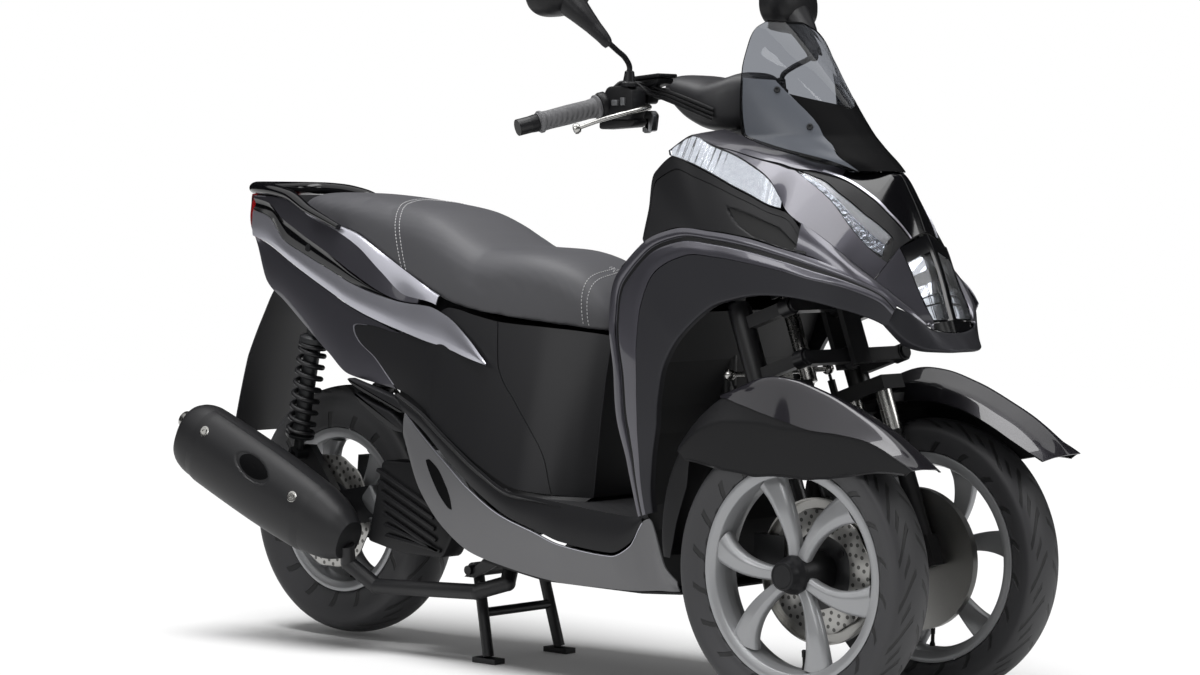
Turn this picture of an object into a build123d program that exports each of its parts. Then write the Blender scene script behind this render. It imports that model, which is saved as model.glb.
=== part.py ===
from build123d import *
import os
from math import sin, cos, radians, hypot

os.makedirs("parts", exist_ok=True)

# Reverse trike, mm. +X forward, +Y to the rider's left, +Z up, floor at z = 0.

# ---- driving sizes ----
FRONT_AXLE_X = 669.5
FRONT_AXLE_Z = 249.8
REAR_AXLE_X = -640.5
REAR_AXLE_Z = 256.4
TRACK_HALF = 192.5
FRONT_TYRE_R = 249.8
FRONT_TYRE_W = 90.0
REAR_TYRE_R = 251.4
REAR_TYRE_W = 110.0
CASTER = 20.0
STEER_X0 = 737.5
KINGPIN_Y = TRACK_HALF - 51.5
ARM_L = 105.0
LOWER_ARM_K = 617.0
UPPER_ARM_K = 712.0
ROD_L = -60.0
ROD_K = 640.0
RUN = 0.05
SEAM = 0.5

SN = sin(radians(CASTER))
CS = cos(radians(CASTER))
PARTS = {}


# ---- helpers ----
def kp(k, l, y):
    """Point k up the steering axis, l ahead of it and y to the left."""
    return (STEER_X0 - SN * k + CS * l, y, CS * k + SN * l)


def steer_plane(k, l, y):
    """Plane square to the steering axis; local x is l, local y is y, local z is k."""
    return Plane(origin=kp(k, l, y), x_dir=(CS, 0, SN), z_dir=(-SN, 0, CS))


def post(k0, k1, l, y, r):
    """Round bar along the steering axis."""
    return steer_plane(k0, l, y) * Cylinder(r, k1 - k0, align=(Align.CENTER, Align.CENTER, Align.MIN))


def slab(k0, k1, l0, l1, y0, y1):
    """Block square to the steering axis."""
    base = steer_plane(k0, (l0 + l1) / 2, (y0 + y1) / 2)
    return base * Box(l1 - l0, y1 - y0, k1 - k0, align=(Align.CENTER, Align.CENTER, Align.MIN))


def lpin(k, y, l0, l1, r):
    """Round bar along L, the lean hinge direction."""
    plane = Plane(origin=kp(k, l0, y), x_dir=(0, 1, 0), z_dir=(CS, 0, SN))
    return plane * Cylinder(r, l1 - l0, align=(Align.CENTER, Align.CENTER, Align.MIN))


def ybar(x, z, y0, y1, r):
    """Round bar along Y."""
    plane = Plane(origin=(x, y0, z), x_dir=(1, 0, 0), z_dir=(0, 1, 0))
    return plane * Cylinder(r, y1 - y0, align=(Align.CENTER, Align.CENTER, Align.MIN))


def rod(a, b, r):
    """Round bar between two points."""
    va = Vector(*a)
    vb = Vector(*b)
    plane = Plane(origin=va, z_dir=(vb - va).normalized())
    return plane * Cylinder(r, (vb - va).length, align=(Align.CENTER, Align.CENTER, Align.MIN))


def chain(points, r):
    """Bars joined by balls at the bends."""
    body = None
    for a, b in zip(points[:-1], points[1:]):
        piece = rod(a, b, r)
        body = piece if body is None else body + piece
    for p in points[1:-1]:
        body = body + Pos(*p) * Sphere(r * 1.03)
    return body


def box(x0, x1, y0, y1, z0, z1):
    """Block between limits."""
    size = (x1 - x0, y1 - y0, z1 - z0)
    return Pos((x0 + x1) / 2, (y0 + y1) / 2, (z0 + z1) / 2) * Box(*size)


def plate(points, y0, y1):
    """Side outline in x, z pushed from y0 to y1."""
    wire = Wire.make_polygon([Vector(x, y0, z) for x, z in points], close=True)
    return Solid.extrude(Face(wire), Vector(0, y1 - y0, 0))


def deck(points, z0, z1):
    """Plan outline in x, y pushed from z0 to z1."""
    wire = Wire.make_polygon([Vector(x, y, z0) for x, y in points], close=True)
    return Solid.extrude(Face(wire), Vector(0, 0, z1 - z0))


def loft(rows):
    """Ruled solid through closed outlines."""
    wires = [Wire.make_polygon([Vector(*p) for p in row], close=True) for row in rows]
    return Solid.make_loft(wires, True)


def inset(points, t):
    """A line moved t to its right, with mitred bends."""
    normals = []
    for (a0, b0), (a1, b1) in zip(points[:-1], points[1:]):
        d = hypot(a1 - a0, b1 - b0)
        normals.append(((b1 - b0) / d, -(a1 - a0) / d))
    moved = []
    for i, (a, b) in enumerate(points):
        before = normals[max(i - 1, 0)]
        after = normals[min(i, len(normals) - 1)]
        na = before[0] + after[0]
        nb = before[1] + after[1]
        size = hypot(na, nb)
        na = na / size
        nb = nb / size
        grow = min(1.6, 1.0 / max(0.3, na * before[0] + nb * before[1]))
        moved.append((a + na * t * grow, b + nb * t * grow))
    return moved


def sheet(stations, place, t):
    """Skin of thickness t through lines, each given as (station value, [(a, b), ...])."""
    rows = []
    for value, line in stations:
        ring = list(line) + inset(line, t)[::-1]
        rows.append([place(value, a, b) for a, b in ring])
    return loft(rows)


def cross_x(x, y, z):
    """Places (y, z) on the section at x."""
    return (x, y, z)


def cross_z(z, x, y):
    """Places (x, y) on the section at z."""
    return (x, y, z)


def both(shape):
    """The shape and its mirror image."""
    return Compound(children=[shape, mirror(shape, about=Plane.XZ)])


def left(shape):
    return mirror(shape, about=Plane.XZ)


def turned(profile, x, z, y=0.0):
    """Ring about a wheel's axis from an outline in (radius, y)."""
    wire = Wire.make_polygon([Vector(x + r, y + h, z) for r, h in profile], close=True)
    return Solid.revolve(Face(wire), 360, Axis((x, y, z), (0, 1, 0)))


def keep(name, shape):
    PARTS[name] = shape


# ---- wheels ----
AXLE_R = 10.0
FRONT_DISC_R = 110.0
REAR_DISC_R = 115.0
SPOKES = 6
HUB_SPREAD = 18.0
RIM_SPREAD = 31.5
DISC_Y = TRACK_HALF - 51.5
FRONT_RIM = [(170, -29), (182, -33), (190, -33), (190, -29), (178, -25), (172, -10), (172, 10),
             (178, 25), (190, 29), (190, 33), (182, 33), (170, 29), (164, 9), (164, -9)]
REAR_RIM = [(146, -38), (158, -43), (166, -43), (166, -39), (153, -34), (148, -12), (148, 12),
            (153, 34), (166, 39), (166, 43), (158, 43), (146, 38), (140, 11), (140, -11)]
TYRE_SHAPE = [(1.0, 0.0), (0.986, 0.30), (0.942, 0.60), (0.87, 0.85), (0.74, 1.0), (0.55, 0.98), (0.30, 0.86)]


def tyre(x, z, y, r_out, half_w, r_seat, half_seat):
    height = r_out - r_seat
    outer = [(r_seat + height * a, half_w * b) for a, b in TYRE_SHAPE]
    right_side = outer + [(r_seat + 0.3, half_seat)]
    inner = [(r_seat + 0.3, half_seat - 9), (r_seat + 0.3 + height * 0.45, half_w - 8), (r_out - 14, half_w * 0.55)]
    half = right_side + inner
    ring = half + [(r, -h) for r, h in half[::-1] if h > 0.01]
    return turned(ring, x, z, y)


def wheel(x, z, y, rim, spoke_r0, spoke_r1, hub_r, hub0, hub1, face0, face1, phase):
    body = turned(rim, x, z, y)
    hub = ybar(x, z, y + hub0, y + hub1, hub_r)
    body = body + hub
    for i in range(SPOKES):
        middle = phase + 120.0 * (i // 2)
        side = 1 if i % 2 else -1
        rows = []
        for r, half, y0, y1, off in ((spoke_r0, 13.0, face0, face1, HUB_SPREAD),
                                     (spoke_r1, 22.0, face0 + 4, face1, RIM_SPREAD)):
            angle = radians(middle + side * off)
            u = (cos(angle), sin(angle))
            v = (-sin(angle), cos(angle))
            ring = []
            for sgn, h in ((-1, y0), (1, y0), (1, y1), (-1, y1)):
                ring.append((x + u[0] * r + v[0] * half * sgn, y + h, z + u[1] * r + v[1] * half * sgn))
            rows.append(ring)
        body = body + loft(rows)
    return body - ybar(x, z, y + hub0 - 5, y + hub1 + 5, AXLE_R + RUN)


def disc(x, z, y0, y1, r, r_in, holes):
    body = ybar(x, z, y0, y1, r) - ybar(x, z, y0 - 1, y1 + 1, r_in)
    for i in range(holes):
        angle = radians(360.0 / holes * i)
        radius = r - 12 if i % 2 else r - 24
        hole = ybar(x + radius * cos(angle), z + radius * sin(angle), y0 - 1, y1 + 1, 4)
        body = body - hole
    return body


front_rim_r = wheel(FRONT_AXLE_X, FRONT_AXLE_Z, -TRACK_HALF, FRONT_RIM, 28, 169, 32, -47, 53.9, -30, -4, 78)
keep("front_rim_r", front_rim_r)
front_rim_l = wheel(FRONT_AXLE_X, FRONT_AXLE_Z, -TRACK_HALF, FRONT_RIM, 28, 169, 32, -47, 53.9, -30, -4, 40)
keep("front_rim_l", left(front_rim_l))
front_tyre_r = tyre(FRONT_AXLE_X, FRONT_AXLE_Z, -TRACK_HALF, FRONT_TYRE_R, FRONT_TYRE_W / 2, 190.0, 33)
keep("front_tyre_r", front_tyre_r)
keep("front_tyre_l", left(front_tyre_r))
front_disc_r = disc(FRONT_AXLE_X, FRONT_AXLE_Z, -DISC_Y - 2, -DISC_Y + 2, FRONT_DISC_R, 32.3, 36)
keep("front_disc_r", front_disc_r)
keep("front_disc_l", left(front_disc_r))
rear_rim = wheel(REAR_AXLE_X, REAR_AXLE_Z, 0, REAR_RIM, 30, 145, 36, -58, 56, -24, 12, 20)
keep("rear_rim", rear_rim)
keep("rear_tyre", tyre(REAR_AXLE_X, REAR_AXLE_Z, 0, REAR_TYRE_R, REAR_TYRE_W / 2, 166.0, 43))
keep("rear_disc", disc(REAR_AXLE_X, REAR_AXLE_Z, -67, -63, REAR_DISC_R, 32, 36) + (
    ybar(REAR_AXLE_X, REAR_AXLE_Z, -67, -58, 44) - ybar(REAR_AXLE_X, REAR_AXLE_Z, -70, -50, 32)))

# ---- knuckles: kingpin, bridge, twin fork tubes, axle ----
KINGPIN_R = 12.0
TUBE_R = 15.0
TUBE_Y = KINGPIN_Y - 26.0
TUBE_LS = (-3.5, 66.5)
BRIDGE_K = (560.0, 586.0)
AXLE_K = SN * (STEER_X0 - FRONT_AXLE_X) + CS * FRONT_AXLE_Z
AXLE_L = -CS * (STEER_X0 - FRONT_AXLE_X) + SN * FRONT_AXLE_Z
COVER_R = 128.0


def fork():
    body = slab(BRIDGE_K[0], BRIDGE_K[1], -23, 82, TUBE_Y - 16, KINGPIN_Y + 20)
    body = body + post(BRIDGE_K[0], 752, 0, KINGPIN_Y, KINGPIN_R)
    body = body + post(742.4, 752, 0, KINGPIN_Y, 19)
    body = body + slab(BRIDGE_K[0] + 8, BRIDGE_K[1], -72, -20, KINGPIN_Y - 10, KINGPIN_Y + 10)
    body = body + post(BRIDGE_K[1] - 1, 618, ROD_L, KINGPIN_Y, 7)
    body = body + post(617, ROD_K - 11.3, ROD_L, KINGPIN_Y, 3)
    for l in TUBE_LS:
        body = body + post(AXLE_K, BRIDGE_K[0] + 5, l, TUBE_Y, TUBE_R)
        body = body + post(AXLE_K - 22, AXLE_K + 150, l, TUBE_Y, TUBE_R + 1.0)
    body = body + slab(AXLE_K - 26, AXLE_K + 30, -20, 83, TUBE_Y - 14, TUBE_Y + 16)
    body = body + ybar(FRONT_AXLE_X, FRONT_AXLE_Z, TUBE_Y - 19, TRACK_HALF + 50.5, AXLE_R)
    body = body + ybar(FRONT_AXLE_X, FRONT_AXLE_Z, TRACK_HALF + 47.4, TRACK_HALF + 53.5, 17)
    body = body + ybar(FRONT_AXLE_X, FRONT_AXLE_Z, DISC_Y - 11, DISC_Y - 2.8, 24)
    body = body + slab(536, 552, TUBE_LS[1] - 10, TUBE_LS[1] + 10, TUBE_Y + 11, TRACK_HALF - 20.5)
    body = body + slab(536, 552, TUBE_LS[0] - 10, TUBE_LS[0] + 10, TUBE_Y + 11, TRACK_HALF - 20.5)
    caliper = box(FRONT_AXLE_X - 140, FRONT_AXLE_X - 72, DISC_Y - 25, DISC_Y + 11, FRONT_AXLE_Z - 12, FRONT_AXLE_Z + 56)
    caliper = caliper - ybar(FRONT_AXLE_X, FRONT_AXLE_Z, DISC_Y - 3.5, DISC_Y + 3.5, FRONT_DISC_R + 2)
    lug = box(FRONT_AXLE_X - 90, FRONT_AXLE_X - 10, TUBE_Y - 11, TUBE_Y + 9, FRONT_AXLE_Z - 6, FRONT_AXLE_Z + 34)
    body = body + caliper + lug
    return body


fork_l = fork()

# ---- front fenders, stations by angle about the front axle ----
# angle, inner edge (radius, y), inner slope (radius, y), ridge (radius, y), crease radius, hem radius; y from the tyre's middle
FENDER = [
    (36, 322, -42.5, 332, -22.5, 338, 23.5, 338, 318),
    (43, 306, -46.5, 322, -22.5, 333, 29.5, 320, 276),
    (52, 294, -48.5, 314, -22.5, 327, 32.5, 302, 226),
    (64, 288, -49.5, 308, -22.5, 322, 33.5, 276, 190),
    (78, 286, -48.5, 309, -22.5, 328, 33.5, 256, 171),
    (90, 284, -42.5, 312, -17.5, 340, 33.5, 252, 169),
    (100, 284, -36.5, 316, -14.5, 347, 32.5, 262, 171),
    (110, 284, -32.5, 318, -12.5, 343, 31.5, 276, 176),
    (120, 284, -28.5, 318, -10.5, 341, 31.5, 296, 196),
    (130, 284, -34.5, 314, -14.5, 336, 33.5, 308, 226),
    (140, 284, -40.5, 308, -20.5, 328, 35.5, 312, 286),
]
FENDER_Y = TRACK_HALF + 55.0
FENDER_T = 3.0
GUARD_Y = TRACK_HALF + 40.5
# angle, inner edge (radius, y), back (radius, y), hem radius
REAR_GUARD = [
    (140.06, 300, -36.5, 322, 33.5, 288),
    (150, 296, -38.5, 314, 35.5, 264),
    (160, 288, -36.5, 303, 37.5, 260),
    (170, 279, -34.5, 294, 37.5, 260),
    (178, 272, -30.5, 287, 35.5, 264),
]


def about_axle(angle, r, y):
    a = radians(angle)
    return (FRONT_AXLE_X + r * cos(a), y, FRONT_AXLE_Z + r * sin(a))


def fender():
    stations = []
    for angle, rf, yf, ri, yi, ro, yo, rc, rh in FENDER:
        hem_y = FENDER_Y - 1.5
        line = [(rf, TRACK_HALF + yf), (ri, TRACK_HALF + yi), (ro, TRACK_HALF + yo), (rc, FENDER_Y), (rh, hem_y)]
        stations.append((angle, line))
    front = sheet(stations, about_axle, FENDER_T)
    stations = []
    for angle, ri, yi, ro, yo, rh in REAR_GUARD:
        y0, y1 = TRACK_HALF + yi, TRACK_HALF + yo
        stations.append((angle, [(ri, y0), (ro, (y0 + y1) / 2), (ro, y1), (rh, GUARD_Y)]))
    rear = sheet(stations, about_axle, FENDER_T)
    return front, rear


fender_front, fender_rear = fender()
fender_l = fender_front + fender_rear
fork_l = fork_l - fender_front
fork_l = max(fork_l.solids(), key=lambda s: s.volume)
keep("fork_l", fork_l)
keep("fork_r", left(fork_l))
keep("front_fender_l", fender_front)
keep("front_fender_r", left(fender_front))
keep("fender_guard_l", fender_rear)
keep("fender_guard_r", left(fender_rear))

cover = ybar(FRONT_AXLE_X, FRONT_AXLE_Z, DISC_Y - 9.7, DISC_Y + 5, COVER_R)
cover = cover - ybar(FRONT_AXLE_X, FRONT_AXLE_Z, DISC_Y - 6.7, DISC_Y + 7, COVER_R - 3)
cover = cover - ybar(FRONT_AXLE_X, FRONT_AXLE_Z, DISC_Y - 11, DISC_Y - 1, 24.3)
cover = cover - box(FRONT_AXLE_X - 141, FRONT_AXLE_X - 71, TUBE_Y - 5, DISC_Y + 12, FRONT_AXLE_Z - 13, FRONT_AXLE_Z + 57)
keep("disc_cover_l", cover)
keep("disc_cover_r", left(cover))

# ---- side members, arms ----
KINGPIN_TUBE = (586.4, 742.0)
PIN_R = 8.0
EYE_R = 16.0
CENTRE_PIN_R = 10.0


def side_member():
    body = post(KINGPIN_TUBE[0], KINGPIN_TUBE[1], 0, KINGPIN_Y, 21)
    for k in (LOWER_ARM_K, UPPER_ARM_K):
        body = body + slab(k - 11, k + 11, 10, ARM_L - 11.4, KINGPIN_Y - 11, KINGPIN_Y + 11)
        body = body + lpin(k, KINGPIN_Y, ARM_L - 20, ARM_L + 16, PIN_R)
        body = body + lpin(k, KINGPIN_Y, ARM_L + 11.4, ARM_L + 16, 12)
    body = body - post(KINGPIN_TUBE[0] - 5, KINGPIN_TUBE[1] + 5, 0, KINGPIN_Y, KINGPIN_R + RUN)
    return body


side_l = side_member()
keep("side_member_l", side_l)
keep("side_member_r", left(side_l))


def arm(k, half_k):
    body = slab(k - half_k, k + half_k, ARM_L - 9, ARM_L + 9, -KINGPIN_Y, KINGPIN_Y)
    body = body + lpin(k, 0, ARM_L - 11, ARM_L + 11, 20)
    for y in (-KINGPIN_Y, KINGPIN_Y):
        body = body + lpin(k, y, ARM_L - 11, ARM_L + 11, EYE_R)
    for y in (-KINGPIN_Y, KINGPIN_Y):
        body = body - lpin(k, y, ARM_L - 20, ARM_L + 20, PIN_R + RUN)
    return body - lpin(k, 0, ARM_L - 20, ARM_L + 20, CENTRE_PIN_R + RUN)


keep("upper_arm", arm(UPPER_ARM_K, 10))
keep("lower_arm", arm(LOWER_ARM_K, 12))

# ---- steering column, handlebar, yoke, tie rod ----
COLUMN_R = 14.0
HEAD_K = (860.0, 1000.0)
column = post(600, 1118, 0, 0, COLUMN_R)
column = column + slab(602, 612, ROD_L, 0, -10, 10)
column = column + post(602, 612, ROD_L, 0, 13)
column = column - post(590, 620, ROD_L, 0, 6 + RUN)
column = column + post(HEAD_K[1] + 0.4, HEAD_K[1] + 14, 0, 0, 24)
keep("steering_column", column)

yoke = post(594, 616, ROD_L, 0, 6) + slab(614, 619, ROD_L - 13, ROD_L + 13, -12, 12)
yoke = yoke + slab(614, 652, ROD_L - 18, ROD_L - 13, -12, 12) + slab(614, 652, ROD_L + 13, ROD_L + 18, -12, 12)
yoke = yoke + lpin(ROD_K, 0, ROD_L - 16, ROD_L + 16, 5)
keep("tie_rod_yoke", yoke)

tie_rod = rod(kp(ROD_K, ROD_L, -KINGPIN_Y), kp(ROD_K, ROD_L, KINGPIN_Y), 5)
for end in (-KINGPIN_Y, KINGPIN_Y):
    tie_rod = tie_rod + Pos(*kp(ROD_K, ROD_L, end)) * Sphere(11)
tie_rod = tie_rod + lpin(ROD_K, 0, ROD_L - 12.5, ROD_L + 12.5, 10)
tie_rod = tie_rod - lpin(ROD_K, 0, ROD_L - 20, ROD_L + 20, 5 + RUN)
keep("tie_rod", tie_rod)

BAR_PATH = [(165, 347, 1020), (222, 225, 1054), (262, 105, 1080), (270, 40, 1082)]
bar_path = BAR_PATH + [(x, -y, z) for x, y, z in BAR_PATH[::-1]]
bar = chain(bar_path, 11)
bar = bar + rod(kp(1110, 0, 0), (270, 0, 1082), 17)
bar = bar - post(1000, 1118.3, 0, 0, COLUMN_R + 0.3)
BAR_DIR = Vector(165 - 222, 347 - 225, 1020 - 1054).normalized()


def on_bar(d):
    """Point on the left grip's axis, d outward from its inner end."""
    p = Vector(222, 225, 1054) + BAR_DIR * d
    return (p.X, p.Y, p.Z)


weight = rod(on_bar(126), on_bar(160), 15)
bar = bar + weight + left(weight)
keep("handlebar", bar)
grip = rod(on_bar(4), on_bar(125), 17) - rod(on_bar(0), on_bar(139.2), 11)
grip = grip + rod(on_bar(4), on_bar(8), 22) - rod(on_bar(0), on_bar(139.2), 11.02)
keep("grips", both(grip))

switch = rod(on_bar(-46), on_bar(3), 21) + box(232, 300, 185, 225, 1040, 1090)
switch = switch - bar

lever = chain([(296, 192, 1052), (290, 225, 1046), (262, 270, 1030), (227, 302, 1010)], 5.5)
lever = lever + Pos(227, 302, 1010) * Sphere(9)
lever = lever - box(232, 300.3, 180, 225.3, 1035, 1095)
lever = max(lever.solids(), key=lambda s: s.volume)
controls = [switch, left(switch), lever, left(lever)]
keep("bar_controls", Compound(children=controls))

bar_cover = loft([
    [(245, y, z) for y, z in ((-92, 1095), (92, 1095), (80, 1118), (-80, 1118))],
    [(330, y, z) for y, z in ((-88, 1062), (88, 1062), (70, 1104), (-70, 1104))],
])
bar_cover = bar_cover - bar - post(1000, 1118.3, 0, 0, COLUMN_R + 0.3)
keep("handlebar_cover", bar_cover)

# mirror stem and head on the left, copied to the right
stem = chain([(278, 215, 1090.3), (284, 216, 1112), (330, 280, 1150), (300, 318, 1196)], 5)
stem = stem + rod((278, 215, 1090.3), (278, 215, 1104), 10)
MIRROR_C = (222, 324, 1262)
mirror_rows = []
for x, sx, sz in ((196, 0.86, 0.82), (206, 1.0, 1.0), (232, 0.95, 0.9), (254, 0.55, 0.5)):
    ring = []
    for i in range(12):
        a = radians(30 * i)
        ring.append((x, MIRROR_C[1] + 72 * sx * cos(a), MIRROR_C[2] + 52 * sz * sin(a)))
    mirror_rows.append(ring)
head = loft(mirror_rows)
stem = stem + rod((300, 318, 1196), (236, 322, 1245), 5)
stem = stem + head - switch
stem = max(stem.solids(), key=lambda s: s.volume)
keep("mirrors", both(stem))

# ---- fixed frame ----
head_pipe = post(HEAD_K[0], HEAD_K[1], 0, 0, 24)
for sgn in (-1, 1):
    head_pipe = head_pipe + slab(762, 900, -14, 14, sgn * 24 - 4, sgn * 24 + 4)
    head_pipe = head_pipe + slab(762, 790, -14, ARM_L + 25, sgn * 24 - 4, sgn * 24 + 4)
head_pipe = head_pipe + slab(780, 790, ARM_L - 25, ARM_L + 25, -28, 28)
for l0, l1 in ((ARM_L - 23, ARM_L - 13), (ARM_L + 13, ARM_L + 23)):
    head_pipe = head_pipe + slab(598, 790, l0, l1, -24, 24)
for k in (LOWER_ARM_K, UPPER_ARM_K):
    head_pipe = head_pipe + lpin(k, 0, ARM_L - 18, ARM_L + 18, CENTRE_PIN_R)
SPINE = [kp(930, -22, 0), (368, 0, 740), (342, 0, 600), (337, 0, 330), (300, 0, 232), (60, 0, 226)]
spine = chain(SPINE, 16)
frame = head_pipe + spine
frame = frame - post(HEAD_K[0] - 20, HEAD_K[1] + 20, 0, 0, COLUMN_R + RUN)
RAIL = [(60, 0, 226), (40, 100, 226), (-90, 118, 226), (-235, 112, 395), (-330, 105, 560), (-700, 78, 760), (-815, 70, 858)]
rail = chain(RAIL, 13)
frame = frame + rail + left(rail)
frame = frame + rod((-190, -114, 343), (-190, 114, 343), 11) + rod((-560, -88, 684), (-560, 88, 684), 11)
frame = frame + rod((-262, -110, 441), (-262, 110, 441), 10)
shock_lug = plate([(-662, 745), (-606, 712), (-620, 626), (-648, 626)], 80, 95.7)
frame = frame + shock_lug + left(shock_lug)
# centre stand lugs and pins
STAND_X = -205.0
STAND_Z = 176.0
for sgn in (-1, 1):
    y0, y1 = sorted((sgn * 104, sgn * 112))
    frame = frame + plate([(STAND_X - 14, STAND_Z - 14), (STAND_X + 14, STAND_Z - 14), (-60, 226), (-110, 244)], y0, y1)
frame = frame + ybar(STAND_X, STAND_Z, -118, 118, 9)
# side stand bracket and pin
SIDE_X = -30.0
SIDE_Y = 168.0
SIDE_Z = 160.0
fold = Vector(-1, 0, 0)
drop = Vector(0.30, 0.42, -0.86).normalized()
hinge = fold.cross(drop).normalized()
side_at = Vector(SIDE_X, SIDE_Y, SIDE_Z)


def on_hinge(d):
    """Point on the side stand's hinge line, d along it."""
    p = side_at + hinge * d
    return (p.X, p.Y, p.Z)


side_bracket = rod(on_hinge(-13), on_hinge(24), 6) + rod(on_hinge(-13), on_hinge(-9.4), 11)
side_bracket = side_bracket + rod(on_hinge(9.4), on_hinge(24), 12) + rod(on_hinge(20), (SIDE_X, 110, 224), 9)
# fairing and panel stays, cut flush below to what they hold
frame = frame + rod(kp(785, ARM_L + 20, 0), (818, 0, 738), 8) + rod((745, 0, 748), (850, 0, 652), 6)
frame = frame + rod(kp(960, 18, 0), (548, 0, 1004), 8)
frame = frame + box(190, 210, -150, 150, 290, 330) + box(190, 210, -14, 14, 226, 300)
frame = frame + box(130, 150, -12, 12, 182, 226) + box(262, 352, -8, 8, 592, 608)
for sgn in (-1, 1):
    frame = frame + rod((700, 0, 757), (690, sgn * 188, 748), 7)
    frame = frame + rod((760, 0, 748), (816, sgn * 78, 726), 6)
    frame = frame + rod((425, sgn * 21, 868), (463, sgn * 212, 884), 7)
    frame = frame + rod((418, sgn * 21, 884), (478, sgn * 192, 946), 6)
    frame = frame + rod((-420, sgn * 98, 609), (-420, sgn * 172, 600), 7)
    frame = frame + rod((-650, sgn * 82, 733), (-650, sgn * 134, 800), 7)

# ---- front fairing, stations by angle about the wheel arch centre ----
ARCH_X = 650.0
ARCH_Z = 420.0
SKIN = 4.0


def about_arch(angle, r, y):
    a = radians(angle)
    return (ARCH_X + r * cos(a), y, ARCH_Z + r * sin(a))


# angle, inner edge (radius, y), ridge (radius, y), outer edge (radius, y)
ARCH = [
    (66, 293, 136, 331, 133, 344, 127),
    (75, 293, 160, 335, 157, 353, 148),
    (85, 297, 179, 339, 183, 368, 166),
    (95, 305, 193, 355, 196, 387, 187),
    (105, 315, 205, 375, 209, 419, 202),
    (113, 322, 212, 394, 216, 450, 211),
    (121, 329, 218, 451, 226, 488, 219),
    (130, 328, 223, 468, 230, 507, 225),
    (138, 327, 226, 430, 232, 505, 230),
    (146, 323, 226, 400, 232, 474, 232),
    (157, 308, 225, 364, 230, 418, 229),
    (168, 296, 223, 342, 227, 388, 226),
    (180, 301, 220, 331, 222, 358, 221),
    (190, 309, 218, 330, 219, 350, 217),
    (196, 313, 216, 331, 217, 349, 215),
]
arch_l = sheet([(a, [(r0, y0), (r1, y1), (r2, y2)]) for a, r0, y0, r1, y1, r2, y2 in ARCH], about_arch, -SKIN)
keep("arch_fairings", both(arch_l))

# chin bar under the nose: y, rear foot (x, z), front (x, z), top (x, z)
CHIN = [
    (0, 874, 631, 878, 636, 853, 664),
    (30, 872, 631, 875, 634, 850, 666),
    (62, 855, 632, 860, 637, 843, 673),
    (75, 844, 633, 849, 638, 836, 683),
    (95, 823, 640, 829, 646, 824, 698),
    (118, 796, 672, 802, 674, 800, 713),
    (126, 783, 690, 789, 694, 789, 718),
]
rows = []
for y, x0, z0, x1, z1, x2, z2 in CHIN[::-1] + [(-y, *rest) for y, *rest in CHIN[1:]]:
    rows.append([(x0 - 8, y, z0), (x1, y, z1), (x2, y, z2), (x2 - 6, y, z2)])
keep("chin_fairing", loft(rows))

# silver cowl: angle, lower edge (radius, y), mid (radius, y), top on the middle plane (radius)
COWL = [
    (72, 354, 114, 412, 68, 437),
    (78, 372, 130, 443, 70, 492),
    (82, 388, 141, 465, 73, 527),
    (88, 414, 153, 500, 84, 545),
    (95, 452, 168, 527, 110, 568),
    (99, 512, 166, 552, 120, 586),
    (103, 548, 168, 572, 128, 605),
    (106, 573, 171, 590, 134, 622),
    (110, 604, 174, 614, 140, 644),
    (113, 634, 181, 640, 140, 660),
]
rows = []
for angle, r0, y0, r1, y1, r2 in COWL:
    half = [(r0, y0), (r1, y1), (r2 - 6, 24), (r2, 0)]
    line = half + [(r, -y) for r, y in half[:-1][::-1]]
    rows.append((angle, line))
keep("front_cowl", sheet(rows, about_arch, -SKIN))

# lower nose sides, either side of the headlamp: angle, lower edge, upper edge
NOSE = [
    (54, 318, 64, 327, 56),
    (60, 329, 82, 347, 63),
    (66, 341, 98, 374, 64),
    (71.5, 352, 112, 408, 68),
]
nose_l = sheet([(a, [(r0, y0), (r1, y1)]) for a, r0, y0, r1, y1 in NOSE], about_arch, -SKIN)
keep("nose_sides", both(nose_l))

# headlamp lens: angle, edge (radius, y), middle radius
LAMP = [
    (54, 326.5, 54, 331),
    (58, 341, 61, 349),
    (62, 355, 62, 372),
    (66, 375, 62.5, 397),
    (71.5, 408, 66.5, 433),
]
rows = []
for angle, r0, y0, r1 in LAMP:
    rows.append((angle, [(r0, y0), (r1 - 5, 16), (r1, 0), (r1 - 5, -16), (r0, -y0)]))
keep("headlamp", sheet(rows, about_arch, -12))

# turn lamp and matte panel between arch and cowl: angle, lower edge, upper edge
TURN = [
    (96, 457, 171.5, 464, 167.5),
    (99, 467, 178, 510, 166.3),
    (103, 492, 186, 546, 168.4),
    (106, 513, 192, 571, 171.3),
    (110, 549, 199, 602, 174.6),
    (113, 578, 203, 632, 181.8),
    (116.5, 612, 208, 620, 206),
]
turn_l = sheet([(a, [(r0, y0), (r1, y1)]) for a, r0, y0, r1, y1 in TURN], about_arch, -8)
keep("turn_lamps", both(turn_l))

MATTE = [
    (89, 378, 175, 392, 164),
    (95, 389, 187, 449, 168.7),
    (99, 402, 193, 464.5, 178),
    (103, 415, 199, 489.5, 186),
    (106, 425, 203, 510.5, 192),
    (110, 440.5, 207.6, 546.5, 199),
    (113, 452, 211, 575.5, 203),
    (116.5, 468.6, 214.5, 609, 208),
    (121, 490, 219, 604, 204),
    (125, 500, 221.7, 552, 214),
    (129, 507, 224.3, 514, 222),
]
matte_l = sheet([(a, [(r0, y0), (r1, y1)]) for a, r0, y0, r1, y1 in MATTE], about_arch, -SKIN)
keep("side_panels", both(matte_l))

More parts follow.
